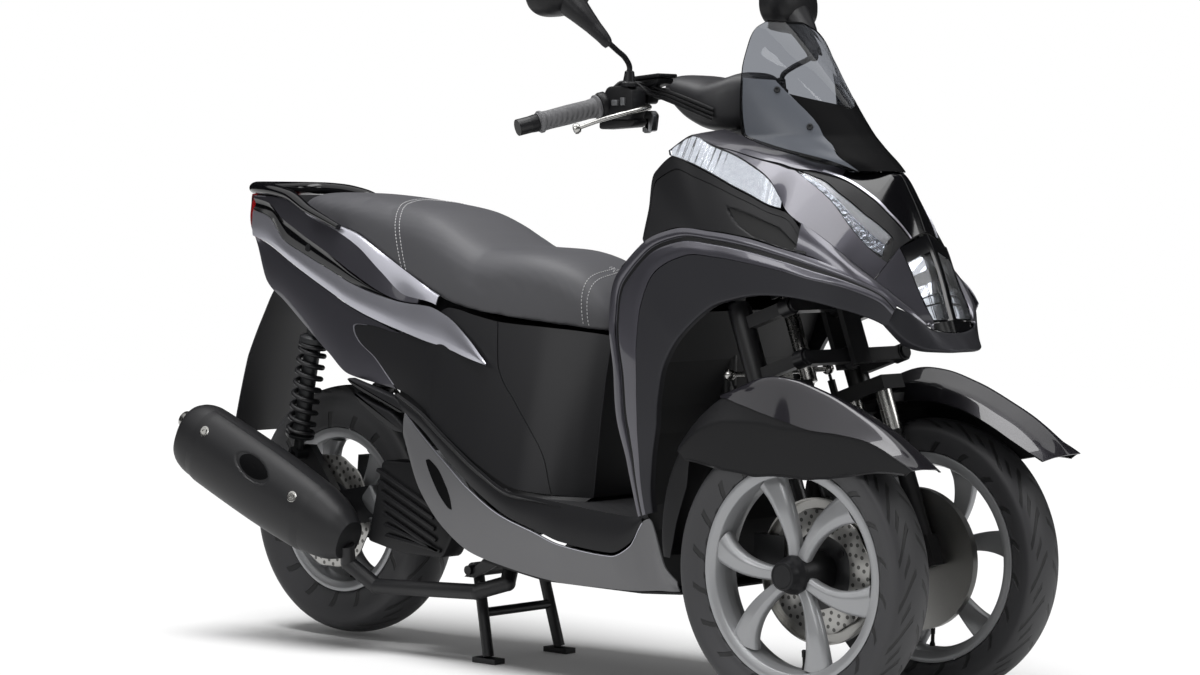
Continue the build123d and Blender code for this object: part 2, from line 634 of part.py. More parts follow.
# rider's side of the leg shield: height, rear face x, half width
LEG_INNER = [
    (331, 318, 209), (397, 304, 212), (468, 281, 217), (583, 269, 223), (696, 263, 225), (730, 265, 225),
    (771, 285, 224), (809, 328, 217), (850, 335, 204), (905, 340, 196), (945, 345, 192), (985, 372, 174), (998, 384, 150),
]
rows = []
for z, x, w in LEG_INNER:
    grow = 6 if z < 830 else 0
    rows.append([(x, -w - grow, z), (x, w + grow, z), (x + 5, w + grow, z), (x + 5, -w - grow, z)])
leg = loft(rows) - arch_l - left(arch_l) - matte_l - left(matte_l)
leg = leg - post(HEAD_K[0], 1110, 0, 0, 40) - spine
keep("leg_shield", max(leg.solids(), key=lambda s: s.volume))

# wall between the front wheels and the rider's feet
# height, front face x, half width
LINER = [(197, 346, 176), (250, 343, 188), (300, 340, 200), (344, 324, 206), (400, 323, 212), (470, 325, 214),
         (520, 334, 214), (600, 356, 210), (690, 400, 196)]
liner = loft([[(x, -w, z), (x, w, z), (x - 3, w, z), (x - 3, -w, z)] for z, x, w in LINER])
liner = liner - arch_l - left(arch_l)

# windscreen: height, middle x, edge (x, y)
SCREEN = [
    (940, 733, 668, 70),
    (956, 717, 630, 90),
    (986, 690, 524, 128),
    (1006, 671, 484, 140),
    (1060, 620, 481, 142),
    (1118, 564, 481, 137),
    (1160, 522, 478, 118),
    (1192, 489, 473, 91),
    (1209, 471, 469, 50),
]
rows = []
for z, xc, xe, ye in SCREEN:
    half = [(xe, ye), (xc - (xc - xe) * 0.68, ye * 0.82), (xc - (xc - xe) * 0.30, ye * 0.52)]
    line = half + [(xc, 0)] + [(x, -y) for x, y in half[::-1]]
    ring = line + [(x - 7, y * 0.98) for x, y in line[::-1]]
    rows.append([(x, y, z) for x, y in ring])
screen = loft(rows) - PARTS["front_cowl"]
keep("windscreen", max(screen.solids(), key=lambda s: s.volume))

# ---- floor, lower skirts, belly ----
FLOOR = [(330, 322), (300, 319), (80, 336), (10, 341), (-20, 352)]
floor = plate(FLOOR + [(x, z - 5) for x, z in FLOOR[::-1]], -217, 217)

# x, top (z, y), bottom (z, y)
SKIRT = [
    (-313, 477, 181, 433, 185),
    (-252, 434, 191, 332, 200),
    (-179, 387, 202, 262, 205),
    (-113, 345, 210, 225, 205),
    (-26, 302, 215, 205, 202),
    (60, 278, 218, 191, 197),
    (130, 259, 220, 185, 194),
    (252, 249, 220, 185, 190),
    (298, 270, 219, 187, 189),
    (330, 318, 217, 190, 188),
    (341, 322, 216, 191, 187),
    (372, 236, 207, 192, 186),
    (396, 213, 202, 195, 194),
]
skirt_l = sheet([(x, [(y1, z1), ((y0 + y1) / 2 + 4, (z0 + z1) / 2), (y0, z0)]) for x, z0, y0, z1, y1 in SKIRT],
                cross_x, -SKIN)
keep("lower_skirts", both(skirt_l))

# dark trim between floor and skirt: x, top (z, y), bottom (z, y)
TRIM = [
    (-345, 512, 171, 490, 177),
    (-267, 482, 185, 453, 189),
    (-172, 430, 200, 390, 203),
    (-83, 381, 210, 337, 213),
    (-1, 346, 214, 299, 217.5),
    (75, 340, 215, 279, 219.5),
    (130, 335, 215, 265, 221.5),
    (252, 325, 215, 255, 221.5),
    (298, 323, 215, 276, 220.5),
    (326, 324, 215, 316, 219),
]
trim_l = sheet([(x, [(y1, z1), (y0, z0)]) for x, z0, y0, z1, y1 in TRIM], cross_x, -3.5)

belly = plate([(392, 188), (300, 182), (60, 184), (-100, 207), (-100, 211), (60, 188), (300, 186), (392, 192)], -186, 186)

# ---- seat and storage box ----
# x, crown z, underside z, half width, underside half width
SEAT = [
    (-742, 866, 852, 52, 44),
    (-720, 886, 850, 70, 62),
    (-660, 896, 838, 98, 92),
    (-600, 895, 826, 112, 108),
    (-522, 890, 811, 126, 122),
    (-425, 880, 768, 138, 134),
    (-335, 867, 728, 148, 146),
    (-269, 844, 699, 153, 152),
    (-223, 821, 684, 156, 155),
    (-163, 797, 672, 155, 154),
    (-64, 793, 661, 146, 145),
    (5, 780, 655, 134, 133),
    (58, 757, 650, 120, 117),
    (95, 730, 646, 106, 102),
    (126, 694, 644, 88, 84),
    (140, 668, 644, 70, 66),
]
rows = []
for x, zt, zb, w, wb in SEAT:
    h = zt - zb
    half = [(wb, zb), (w, zb + 0.35 * h), (0.93 * w, zb + 0.74 * h), (0.66 * w, zb + 0.95 * h), (0, zt)]
    ring = half + [(-y, z) for y, z in half[:-1][::-1]]
    rows.append([(x, y, z) for y, z in ring])
seat = loft(rows)
seat_base = []
for x, zt, zb, w, wb in SEAT[3:13]:
    seat_base.append((x, zb - 4.0))
pan = plate([(x, zb - 0.3) for x, zt, zb, w, wb in SEAT[3:13]] + seat_base[::-1], -88, 88)
keep("seat_cushion", seat)
HINGE_X = 137.0
HINGE_Z = 637.5
hinge_eye = plate([(66, 644.5), (HINGE_X - 8, HINGE_Z - 1), (HINGE_X - 5, HINGE_Z - 6), (HINGE_X + 5, HINGE_Z - 6),
                   (HINGE_X + 7, 643.6), (20, 650), (20, 648.5)], -30, 30)
pan = pan + hinge_eye - ybar(HINGE_X, HINGE_Z, -40, 40, 3 + RUN) - seat
pan = max(pan.solids(), key=lambda s: s.volume)
keep("seat_pan", pan)

BOX_TOP = [(-330, 718), (-269, 691), (-223, 676), (-163, 664), (-64, 653), (5, 648), (60, 643)]
BOX_Y = 90.0
bucket = plate(BOX_TOP + [(60, 520), (-20, 451.3), (-300, 451.3), (-330, 500)], -BOX_Y, BOX_Y)
hollow = plate([(-326, 740), (56, 740), (56, 522), (-22, 455), (-298, 455), (-326, 502)], -BOX_Y + 3, BOX_Y - 3)
bucket = bucket - hollow
for y0, y1 in ((-42, -30.5), (30.5, 42)):
    bucket = bucket + plate([(58, 600), (58, 626), (HINGE_X - 5, HINGE_Z + 4), (HINGE_X + 5, HINGE_Z + 2),
                             (HINGE_X + 4, HINGE_Z - 6), (HINGE_X - 20, HINGE_Z - 12)], y0, y1)
bucket = bucket + ybar(HINGE_X, HINGE_Z, -42, 42, 3)
for sgn in (-1, 1):
    y0, y1 = sorted((sgn * (BOX_Y - 3), sgn * 172))
    bucket = bucket + box(-110, -90, y0, y1, 600, 606)

# ---- body sides ----
# x, top (z, y), foot (z, y)
SIDE = [
    (-830, 805, 97, 800, 97),
    (-787, 790, 104, 716, 107),
    (-724, 763, 116, 678, 117),
    (-650, 732, 128, 632, 130),
    (-563, 697, 140, 580, 146),
    (-498, 671, 147, 542, 156),
    (-416, 646, 154, 528, 162),
    (-340, 627, 158, 516, 167),
    (-270, 611, 160, 488, 178),
    (-230, 604, 160, 463, 189),
    (-222, 680, 155, 458, 190),
    (-153, 667, 152, 420, 200),
    (-90, 656, 147, 388, 206),
    (0, 650, 133, 352, 208),
    (60, 645, 113, 344, 190),
    (100, 641, 98, 341, 160),
    (129.7, 636, 80, 338.5, 130),
]
stations = []
for x, z0, y0, z1, y1 in SIDE:
    bulge = 6 if z0 - z1 > 60 else 0
    stations.append((x, [(y1, z1), ((y0 + y1) / 2 + bulge, (z0 + z1) / 2), (y0, z0)]))
side_l = sheet(stations, cross_x, -SKIN)
keep("side_covers", both(side_l))
trim_l = trim_l - skirt_l - side_l
trim_l = max(trim_l.solids(), key=lambda s: s.volume)
keep("step_trim", both(trim_l))
floor = floor - trim_l - left(trim_l) - skirt_l - left(skirt_l) - side_l - left(side_l)
floor = max(floor.solids(), key=lambda s: s.volume)
keep("floor_board", floor)
bucket = bucket - side_l - left(side_l) - frame
keep("storage_box", max(bucket.solids(), key=lambda s: s.volume))

# front of the body, closing the two sides
front_rows = []
for z, x, w in ((625, 130, 81), (560, 130, 96), (480, 130, 109), (400, 130, 120), (340, 130, 129)):
    front_rows.append([(x, -w, z), (x, w, z), (x + 4, w, z), (x + 4, -w, z)])
keep("body_front", loft(front_rows))

# silver tail panels: x, top (z, y), middle (z, y), foot (z, y)
TAIL = [
    (-842, 890, 95, 862, 96, 808, 97),
    (-787, 888, 99, 850, 106, 793, 105),
    (-724, 880, 103, 800, 119, 766, 117),
    (-650, 846, 113, 773, 130, 735, 129),
    (-563, 822, 128, 743, 141, 700, 141),
    (-498, 794, 134, 720, 148, 674, 148.5),
    (-416, 744, 146, 700, 155, 649, 155.5),
    (-340, 700, 154, 688, 158, 630, 160),
    (-270, 690, 160, 684, 163, 614, 165.5),
    (-221, 674, 164, 668, 165, 605, 168),
    (-153, 632, 172, 626, 173, 588, 176),
    (-96, 584, 181, 580, 182, 576, 183),
]
tail_l = sheet([(x, [(y2, z2), (y1, z1), (y0, z0)]) for x, z0, y0, z1, y1, z2, y2 in TAIL], cross_x, -SKIN)
tail_l = tail_l - side_l
tail_l = max(tail_l.solids(), key=lambda s: s.volume)
keep("tail_panels", both(tail_l))

# grab rail round the tail: x, bottom z, top z, inner y, outer y
RAIL_SIDE = [(-560, 825, 838, 126, 135), (-650, 849, 877, 113, 129), (-724, 884, 904, 98, 119), (-800, 893, 915, 88, 112)]
side_rail = loft([[(x, yi, z0), (x, yo, z0), (x, yo, z1), (x, yi, z1)] for x, z0, z1, yi, yo in RAIL_SIDE])
rear_rail = deck([(-800, 88), (-800, 112), (-868, 84), (-885, 52), (-885, -52), (-868, -84), (-800, -112), (-800, -88),
                  (-846, -62), (-850, -40), (-850, 40), (-846, 62)], 893, 915)
keep("grab_rail", rear_rail + side_rail + left(side_rail))

lamp_rows = []
for z, x0, w in ((892.6, -950, 40), (870, -948, 72), (835, -942, 82), (798, -930, 70)):
    lamp_rows.append([(x0, -w * 0.75, z), (x0 + 18, -w, z), (-846, -w, z), (-846, w, z), (x0 + 18, w, z), (x0, w * 0.75, z)])
tail_lamp = loft(lamp_rows)
keep("tail_lamp", tail_lamp)
keep("tail_deck", box(-845.7, -760, -90.6, 90.6, 846, 892.7) - frame - PARTS["grab_rail"])

# rear guard and licence flap
flap = plate([(-690, 752), (-800, 706), (-862, 575), (-918, 402), (-914, 401), (-858, 573), (-797, 700), (-690, 746)],
             -88, 88)
flap = flap - frame
keep("rear_guard", max(flap.solids(), key=lambda s: s.volume))

# ---- engine unit ----
engine = box(-372, -170, -105, 70, 235, 400)
engine = engine - frame
keep("engine_block", max(engine.solids(), key=lambda s: s.volume))
CASE = [(-712, 256), (-690, 190), (-600, 180), (-300, 196), (-215, 240), (-215, 330), (-300, 372), (-600, 330),
        (-672, 336), (-676, 357.7), (-704, 357.7)]
case = plate(CASE, 70.3, 142)
case = case - ybar(REAR_AXLE_X, REAR_AXLE_Z, 60, 100, AXLE_R)
keep("drive_case", case)
axle = ybar(REAR_AXLE_X, REAR_AXLE_Z, -104, 99.8, AXLE_R) + ybar(REAR_AXLE_X, REAR_AXLE_Z, -104, -94.3, 17)
axle = axle + ybar(REAR_AXLE_X, REAR_AXLE_Z, 56.4, 70, 16)
swing = plate([(-665, 256), (-655, 232), (-620, 228), (-372.3, 262), (-372.3, 340), (-600, 300), (-672, 388), (-706, 388),
               (-706, 356)], -94, -76)
swing = swing + ybar(REAR_AXLE_X, REAR_AXLE_Z, -94, -67.6, 24)
swing = swing + box(REAR_AXLE_X + 66, REAR_AXLE_X + 128, -94, -57, REAR_AXLE_Z - 8, REAR_AXLE_Z + 44)
swing = swing - ybar(REAR_AXLE_X, REAR_AXLE_Z, -69, -61.5, REAR_DISC_R + 2)
swing = swing + ybar(REAR_AXLE_X, REAR_AXLE_Z, -94, -67.6, 24)
swing = swing + axle
keep("swing_arm", swing)

# rear shocks with coil sleeve
SHOCK_TOP = (-634.0, 640.0)
SHOCK_FOOT = (-690.0, 372.0)
SHOCK_Y = 112.0
shock_v = Vector(SHOCK_TOP[0] - SHOCK_FOOT[0], 0, SHOCK_TOP[1] - SHOCK_FOOT[1])
shock_len = shock_v.length
profile = [(0, 0), (11, 0), (11, 30), (26, 34), (26, 44)]
for i in range(9):
    profile += [(30, 50 + i * 19), (30, 56 + i * 19), (21, 59 + i * 19), (21, 66 + i * 19)]
profile += [(28, 228), (28, 240), (16, 244), (16, shock_len - 4), (0, shock_len - 4)]
shock_plane = Plane(origin=(SHOCK_FOOT[0], SHOCK_Y, SHOCK_FOOT[1]), x_dir=(0, 1, 0), z_dir=shock_v.normalized())
wire = Wire.make_polygon([Vector(r, 0, h) for r, h in profile], close=True)
shock = Solid.revolve(Face(wire), 360, Axis.Z)
shock = shock_plane * shock
shock = shock + ybar(SHOCK_TOP[0], SHOCK_TOP[1], 96, 122, 14) + ybar(SHOCK_FOOT[0], SHOCK_FOOT[1], 94.3, 126, 14)
shock = shock - plate([(-760, 300), (-600, 300), (-600, 357.7), (-760, 357.7)], 60, 150)
keep("rear_shocks", both(shock))

# silencer, stations along its axis from the rear cap
MUFF_A = Vector(-898, -212, 409)
MUFF_B = Vector(-462, -186, 219)
MUFFLER = [(0.0, 52, 42), (0.02, 66, 52), (0.10, 76, 58), (0.45, 78, 60), (0.78, 72, 56), (0.93, 58, 46), (1.0, 40, 32)]
muff_dir = (MUFF_B - MUFF_A).normalized()
muff_side = Vector(0, 1, 0) - muff_dir * muff_dir.Y
muff_side = muff_side.normalized()
muff_up = muff_side.cross(muff_dir)
rows = []
for t, up, side in MUFFLER:
    c = MUFF_A + (MUFF_B - MUFF_A) * t
    ring = []
    for i in range(16):
        a = radians(22.5 * i)
        p = c + muff_up * (up * sin(a)) + muff_side * (side * cos(a))
        ring.append((p.X, p.Y, p.Z))
    rows.append(ring)
muffler = loft(rows)
tail_pipe = rod((-890, -205, 420), (-925, -208, 434), 17)
muffler = muffler + tail_pipe - rod((-900, -206, 424), (-940, -209, 440), 13)
bracket = plate([(-640, 300), (-560, 290), (-540, 262), (-600, 250)], -150, -94.2)
muffler = muffler + bracket
keep("silencer", muffler)
pipe = chain([(-180, -60, 262), (-120, -80, 205), (-100, -116, 160), (-150, -149, 142), (-420, -152, 130),
              (-480, -170, 172), (-470, -184, 210)], 15)
pipe = pipe - muffler - engine
keep("exhaust_pipe", max(pipe.solids(), key=lambda s: s.volume))

rad = plate([(-440, 218), (-400, 378), (-309, 379), (-205, 245), (-232, 200), (-346, 200)], -165, -105.3)
rad = rad - frame
for i in range(6):
    rad = rad - box(-420, -230, -170, -160, 232 + 22 * i, 242 + 22 * i)
keep("radiator_cover", max(rad.solids(), key=lambda s: s.volume))

# ---- stands ----
stand = ybar(STAND_X, STAND_Z, -103.6, 103.6, 14)
for sgn in (-1, 1):
    stand = stand + rod((STAND_X, sgn * 88, STAND_Z), (STAND_X + 40, sgn * 100, 12), 11)
    stand = stand + box(STAND_X + 10, STAND_X + 70, sgn * 100 - 14, sgn * 100 + 14, 0, 10)
stand = stand + rod((STAND_X + 20, -92, 94), (STAND_X + 20, 92, 94), 9)
stand = stand - ybar(STAND_X, STAND_Z, -130, 130, 9 + RUN)
keep("centre_stand", stand)

side_stand = rod((SIDE_X, SIDE_Y, SIDE_Z), (SIDE_X - 165, SIDE_Y, SIDE_Z), 8)
side_stand = side_stand + box(SIDE_X - 185, SIDE_X - 160, SIDE_Y - 14, SIDE_Y + 14, SIDE_Z - 9, SIDE_Z + 9)
side_stand = side_stand + rod(on_hinge(-9), on_hinge(9), 16) - rod(on_hinge(-30), on_hinge(30), 6 + RUN)
keep("side_stand", side_stand)
print("side stand hinge", hinge)

# ---- stays cut flush to what they hold ----
for name in ("headlamp", "chin_fairing", "front_cowl", "nose_sides", "arch_fairings", "side_panels", "turn_lamps",
             "side_covers", "tail_panels", "floor_board", "leg_shield"):
    for solid in PARTS[name].solids():
        frame = frame - solid
frame = frame - belly
frame = max(frame.solids(), key=lambda s: s.volume) + side_bracket
keep("main_frame", frame)
keep("under_cover", belly - frame)
liner = liner - frame - floor
keep("wheel_house", max(liner.solids(), key=lambda s: s.volume))

# like pieces that share a node
SHARED = {
    "front_cowl": ["nose_sides"],
    "arch_fairings": ["chin_fairing"],
    "front_fender_l": ["fender_guard_l"],
    "front_fender_r": ["fender_guard_r"],
    "side_covers": ["body_front"],
    "rear_guard": ["tail_deck"],
}
for name, others in SHARED.items():
    solids = list(PARTS[name].solids())
    for other in others:
        solids = solids + list(PARTS.pop(other).solids())
    PARTS[name] = Compound(children=solids)

for name, shape in PARTS.items():
    shape.label = name
    export_step(shape, "parts/" + name + ".step")
    print(name, round(shape.volume), shape.bounding_box().size)
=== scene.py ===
"""Finish for a leaning three-wheeled scooter: painted panels, wheels, lamps, seat and controls over its solid model.

Lengths in tables are millimetres in the vehicle's own frame: +X forward, +Y to the rider's left, +Z up, floor at 0.
"""

import bpy
import numpy as np
from bpy.props import FloatProperty, FloatVectorProperty, PointerProperty
from mathutils import Matrix


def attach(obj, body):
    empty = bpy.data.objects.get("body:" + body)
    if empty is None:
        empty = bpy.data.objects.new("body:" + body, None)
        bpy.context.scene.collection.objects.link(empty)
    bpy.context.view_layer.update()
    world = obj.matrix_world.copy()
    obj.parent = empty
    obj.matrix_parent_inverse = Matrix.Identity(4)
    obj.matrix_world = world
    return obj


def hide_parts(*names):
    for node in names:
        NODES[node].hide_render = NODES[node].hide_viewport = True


bl_info = {
    "name": "Leaning Scooter Finish",
    "version": (1, 0, 0),
    "blender": (4, 5, 0),
    "location": "3D View > Sidebar > Scooter",
    "description": "Builds the finished panels, wheels, lamps, seat and controls of a leaning three-wheeled scooter",
    "category": "Add Mesh",
}

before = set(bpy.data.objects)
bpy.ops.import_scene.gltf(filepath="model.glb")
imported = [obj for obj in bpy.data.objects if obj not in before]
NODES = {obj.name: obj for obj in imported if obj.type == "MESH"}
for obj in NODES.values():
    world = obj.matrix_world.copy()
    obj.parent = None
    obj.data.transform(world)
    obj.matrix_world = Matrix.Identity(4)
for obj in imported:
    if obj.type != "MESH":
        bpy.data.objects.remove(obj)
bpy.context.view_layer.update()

# ---- sizes shared by the pieces ----
FRONT_AXLE = (669.5, 249.8)
REAR_AXLE = (-640.5, 256.4)
TRACK_HALF = 192.5
CASTER = np.radians(20.0)
SN, CS = np.sin(CASTER), np.cos(CASTER)
ARCH_CENTRE = (650.0, 420.0)
DISC_Y, FORK_Y = 141.0, 115.0
FORK_LEGS = (-3.5, 66.5)
# radius, half width, bead seat's radius, its half width
FRONT_TYRE = (249.8, 45.0, 190.0, 33)
REAR_TYRE = (251.4, 55.0, 166.0, 43)
# brake discs' hole rows (radius, share of a step round); holes in a row
FRONT_HOLES = [(74, 0.0), (85, 0.33), (96, 0.66), (104, 0.2)]
REAR_HOLES = [(78, 0.0), (89, 0.33), (100, 0.66), (108, 0.2)]
HOLE_COUNT = 26
# seat pad: how much smaller it starts, voxel of its remesh, furthest move of a point
PAD_SHRINK, PAD_VOXEL, PAD_CAP = 2.6, 7.0, 4.6
# mirror glass: middle, half width and half height
MIRROR_AT = np.array((196.0, 324.0, 1262.0))
MIRROR_HALF = (71.5, 51.0)


# ---- numbers ----
def linear(code):
    """sRGB hex colour as linear red, green, blue, alpha."""
    c = np.array([int(code[i:i + 2], 16) for i in (1, 3, 5)]) / 255.0
    c = np.where(c <= 0.04045, c / 12.92, ((c + 0.055) / 1.055) ** 2.4)
    return tuple(float(v) for v in c) + (1.0,)


def circle(n):
    """n angles at equal steps round a circle."""
    return np.linspace(0, 2 * np.pi, n, endpoint=False)


def powered(v, power):
    """Numbers' sizes raised to a power, their signs kept."""
    return np.sign(v) * np.abs(v) ** power


def through(table, n, at=None):
    """n rows through a table: each column is a cubic in the first one, its slope at a row the harmonic mean of the
    slopes on both sides."""
    t = np.asarray(table, float)
    sign = 1.0 if t[-1, 0] > t[0, 0] else -1.0
    x = t[:, 0] * sign
    h = np.diff(x)[:, None]
    d = np.diff(t, axis=0) / h
    m = np.vstack([d[:1], np.zeros((len(t) - 2, t.shape[1])), d[-1:]])
    a, b, same = d[:-1], d[1:], d[:-1] * d[1:] > 0
    w1, w2 = 2 * h[1:] + h[:-1], h[1:] + 2 * h[:-1]
    safe = np.where(same, (w1 / np.where(same, a, 1) + w2 / np.where(same, b, 1)), 1)
    m[1:-1] = np.where(same, (w1 + w2) / safe, 0)
    q = np.linspace(x[0], x[-1], n) if at is None else np.asarray(at, float) * sign
    i = np.clip(np.searchsorted(x, q, side="right") - 1, 0, len(x) - 2)
    s = ((q - x[i]) / h[i, 0])[:, None]
    hh = h[i]
    return ((1 + 2 * s) * (1 - s) ** 2 * t[i] + s * (1 - s) ** 2 * hh * m[i] + s * s * (3 - 2 * s) * t[i + 1]
            + s * s * (s - 1) * hh * m[i + 1])


def smooth_path(points, n):
    """n points along a path: through() on the distance between its points."""
    p = np.asarray(points, float)
    d = np.concatenate([[0], np.cumsum(np.linalg.norm(np.diff(p, axis=0), axis=1))])
    return through(np.column_stack([d, p]), n)[:, 1:]


def rounded(P, r=4.0, seg=6, ease=5):
    """Lines of points (..., K, 3) as seg steps along each straight and, at each inner point, a parabola that leaves
    the straights r before the point."""
    P = np.asarray(P, float)
    K = P.shape[-2]
    rs = np.broadcast_to(r, (K,))
    out, start = [], P[..., 0, :]
    t, e = np.linspace(0, 1, seg, endpoint=False)[:, None], np.linspace(0, 1, ease, endpoint=False)[:, None]
    for k in range(1, K - 1):
        p, a, b = P[..., k, :], P[..., k - 1, :] - P[..., k, :], P[..., k + 1, :] - P[..., k, :]
        la, lb = (np.maximum(np.linalg.norm(v, axis=-1, keepdims=True), 1e-6) for v in (a, b))
        pa = (p + a / la * np.minimum(rs[k], 0.45 * la))[..., None, :]
        pb = (p + b / lb * np.minimum(rs[k], 0.45 * lb))[..., None, :]
        out.append(start[..., None, :] * (1 - t) + pa * t)
        out.append(pa * (1 - e) ** 2 + 2 * p[..., None, :] * e * (1 - e) + pb * e * e)
        start = pb[..., 0, :]
    t = np.linspace(0, 1, seg)[:, None]
    out.append(start[..., None, :] * (1 - t) + P[..., -1, :][..., None, :] * t)
    return np.concatenate(out, axis=-2)


def arch(angle, r, y):
    """Place about the wheel arch's centre: angle in degrees, radius, y."""
    a = np.radians(angle)
    return np.stack(np.broadcast_arrays(ARCH_CENTRE[0] + r * np.cos(a), y, ARCH_CENTRE[1] + r * np.sin(a)), -1)


def axle(angle, r, y):
    """Place about the front axle."""
    a = np.radians(angle)
    return np.stack(np.broadcast_arrays(FRONT_AXLE[0] + r * np.cos(a), y, FRONT_AXLE[1] + r * np.sin(a)), -1)


def across(x, z, y):
    """Place on the section at x."""
    return np.stack(np.broadcast_arrays(x, y, z), -1)


def steer(k, l, y):
    """Place k up the steering axis, l ahead of it."""
    return np.stack(np.broadcast_arrays(737.5 - SN * k + CS * l, y, CS * k + SN * l), -1)


# ---- meshes: a form is (points, list of face arrays) ----
def sheet(P, ring=False, caps=False):
    """Faces between neighbours of a grid of points (U, V, 3); ring joins the last column to the first, and caps close
    the first and last rows."""
    U, V = P.shape[:2]
    i = np.arange(U * V).reshape(U, V)
    j = np.roll(i, -1, 1) if ring else i[:, 1:]
    i0 = i if ring else i[:, :-1]
    quads = np.stack([i0[:-1], j[:-1], j[1:], i0[1:]], -1).reshape(-1, 4)
    faces = [quads]
    if caps:
        faces += [i[0][None, ::-1], i[-1][None]]
    return P.reshape(-1, 3), faces


def volume(form):
    """Signed volume of a closed form, by fans from each face's first corner."""
    v, total = form[0], 0.0
    for f in form[1]:
        p = v[f]
        total += np.einsum("ijk,ijk->", np.cross(p[:, 1:-1], p[:, 2:]), np.broadcast_to(p[:, :1], p[:, 1:-1].shape)) / 6
    return total


def flipped(form):
    return form[0], [f[:, ::-1] for f in form[1]]


def outward(form, inside=None):
    """The form with its faces turned away from a point inside; a closed form needs none."""
    if inside is None:
        return flipped(form) if volume(form) < 0 else form
    v, f = form[0], form[1][0]
    p = v[f]
    normal = np.cross(p[:, 2] - p[:, 0], p[:, 3] - p[:, 1])
    away = np.einsum("ij,ij->", normal, p.mean(1) - np.asarray(inside, float))
    return flipped(form) if away < 0 else form


def mirrored(form):
    """The form on the other side of the middle plane."""
    return form[0] * (1, -1, 1), [f[:, ::-1] for f in form[1]]


def closed(P):
    """Form of a grid whose columns run round it, both ends capped."""
    return outward(sheet(P, ring=True, caps=True))


def pair(form):
    return [form, mirrored(form)]


def both(forms):
    """Each form, followed by its mirror image."""
    return [g for form in forms for g in pair(form)]


def normals(P, inside=None):
    """Unit normals of a grid, away from a point, by default the middle plane beside its own centre."""
    n = np.cross(np.gradient(P, axis=0), np.gradient(P, axis=1))
    n /= np.maximum(np.linalg.norm(n, axis=-1, keepdims=True), 1e-9)
    c = P.reshape(-1, 3).mean(0)
    inside = np.array((c[0], 0, c[2]) if inside is None else inside, float)
    return -n if np.einsum("ijk,ijk->", n, P - inside) < 0 else n


def wall(P, t, inside=None):
    """Closed shell: the sheet, the same sheet t mm inside it along each point's normal, and a strip round the edge."""
    n = normals(P, inside)
    U, V = P.shape[:2]
    i = np.arange(U * V).reshape(U, V)
    rim = np.concatenate([i[0, :-1], i[:-1, -1], i[-1, :0:-1], i[:0:-1, 0]])
    q = sheet(P)[1][0]
    k = U * V
    strip = np.stack([rim, np.roll(rim, -1), np.roll(rim, -1) + k, rim + k], -1)
    form = np.concatenate([P.reshape(-1, 3), (P - n * t).reshape(-1, 3)]), [q, q[:, ::-1] + k, strip[:, ::-1]]
    return outward(form)


def tube(path, r, n=14, flat=1.0, up=(0, 0, 1)):
    """Round bar along a path: rings of radius r square to it, r a number or one per point, flat scales it along up."""
    p = np.asarray(path, float)
    d = np.gradient(p, axis=0)
    d /= np.linalg.norm(d, axis=1, keepdims=True)
    s = np.cross(d, np.asarray(up, float))
    s /= np.maximum(np.linalg.norm(s, axis=1, keepdims=True), 1e-9)
    u = np.cross(s, d)
    a = circle(n)
    r = np.broadcast_to(r, (len(p),))[:, None, None]
    P = p[:, None] + r * (s[:, None] * np.cos(a)[None, :, None] + u[:, None] * np.sin(a)[None, :, None] * flat)
    return closed(P)


def square_to(direction):
    """Unit vector along a direction, and two more square to it and to each other."""
    w = np.asarray(direction, float) / np.linalg.norm(direction)
    u = np.cross(w, (0, 1, 0) if abs(w[1]) < 0.9 else (1, 0, 0))
    u /= np.linalg.norm(u)
    return w, u, np.cross(w, u)


def turned(profile, x, z, y=0.0, n=96, axis_dir=None, origin=None):
    """Closed outline of (radius, height) carried round an axis: along Y through x, z, or along axis_dir from origin."""
    q = np.asarray(profile, float)
    a = circle(n)[:, None]
    if axis_dir is None:
        P = np.stack(np.broadcast_arrays(x + q[:, 0] * np.cos(a), y + q[:, 1], z + q[:, 0] * np.sin(a)), -1)
    else:
        w, u, v = square_to(axis_dir)
        P = (np.asarray(origin, float) + q[None, :, 1:2] * w
             + q[None, :, :1] * (np.cos(a)[..., None] * u + np.sin(a)[..., None] * v))
    return outward(sheet(np.concatenate([P, P[:1]]), ring=True))


def knob(origin, direction, profile, n=20):
    """Outline of (radius, height) turned about a direction, with flat ends."""
    q = np.asarray(profile, float)
    w, u, v = square_to(direction)
    a = circle(n)[None, :, None]
    P = np.asarray(origin, float) + q[:, None, 1:2] * w + q[:, None, :1] * (np.cos(a) * u + np.sin(a) * v)
    return closed(P)


def eased(outline, r, n=4):
    """Closed outline (K, 2) with a parabola at each corner, r long on each side."""
    p = np.asarray(outline, float)
    a, b = np.roll(p, 1, 0) - p, np.roll(p, -1, 0) - p
    la, lb = np.linalg.norm(a, axis=1, keepdims=True), np.linalg.norm(b, axis=1, keepdims=True)
    pa, pb = p + a / la * np.minimum(r, 0.45 * la), p + b / lb * np.minimum(r, 0.45 * lb)
    t = np.linspace(0, 1, n)[None, :, None]
    return (pa[:, None] * (1 - t) ** 2 + 2 * p[:, None] * t * (1 - t) + pb[:, None] * t * t).reshape(-1, p.shape[1])


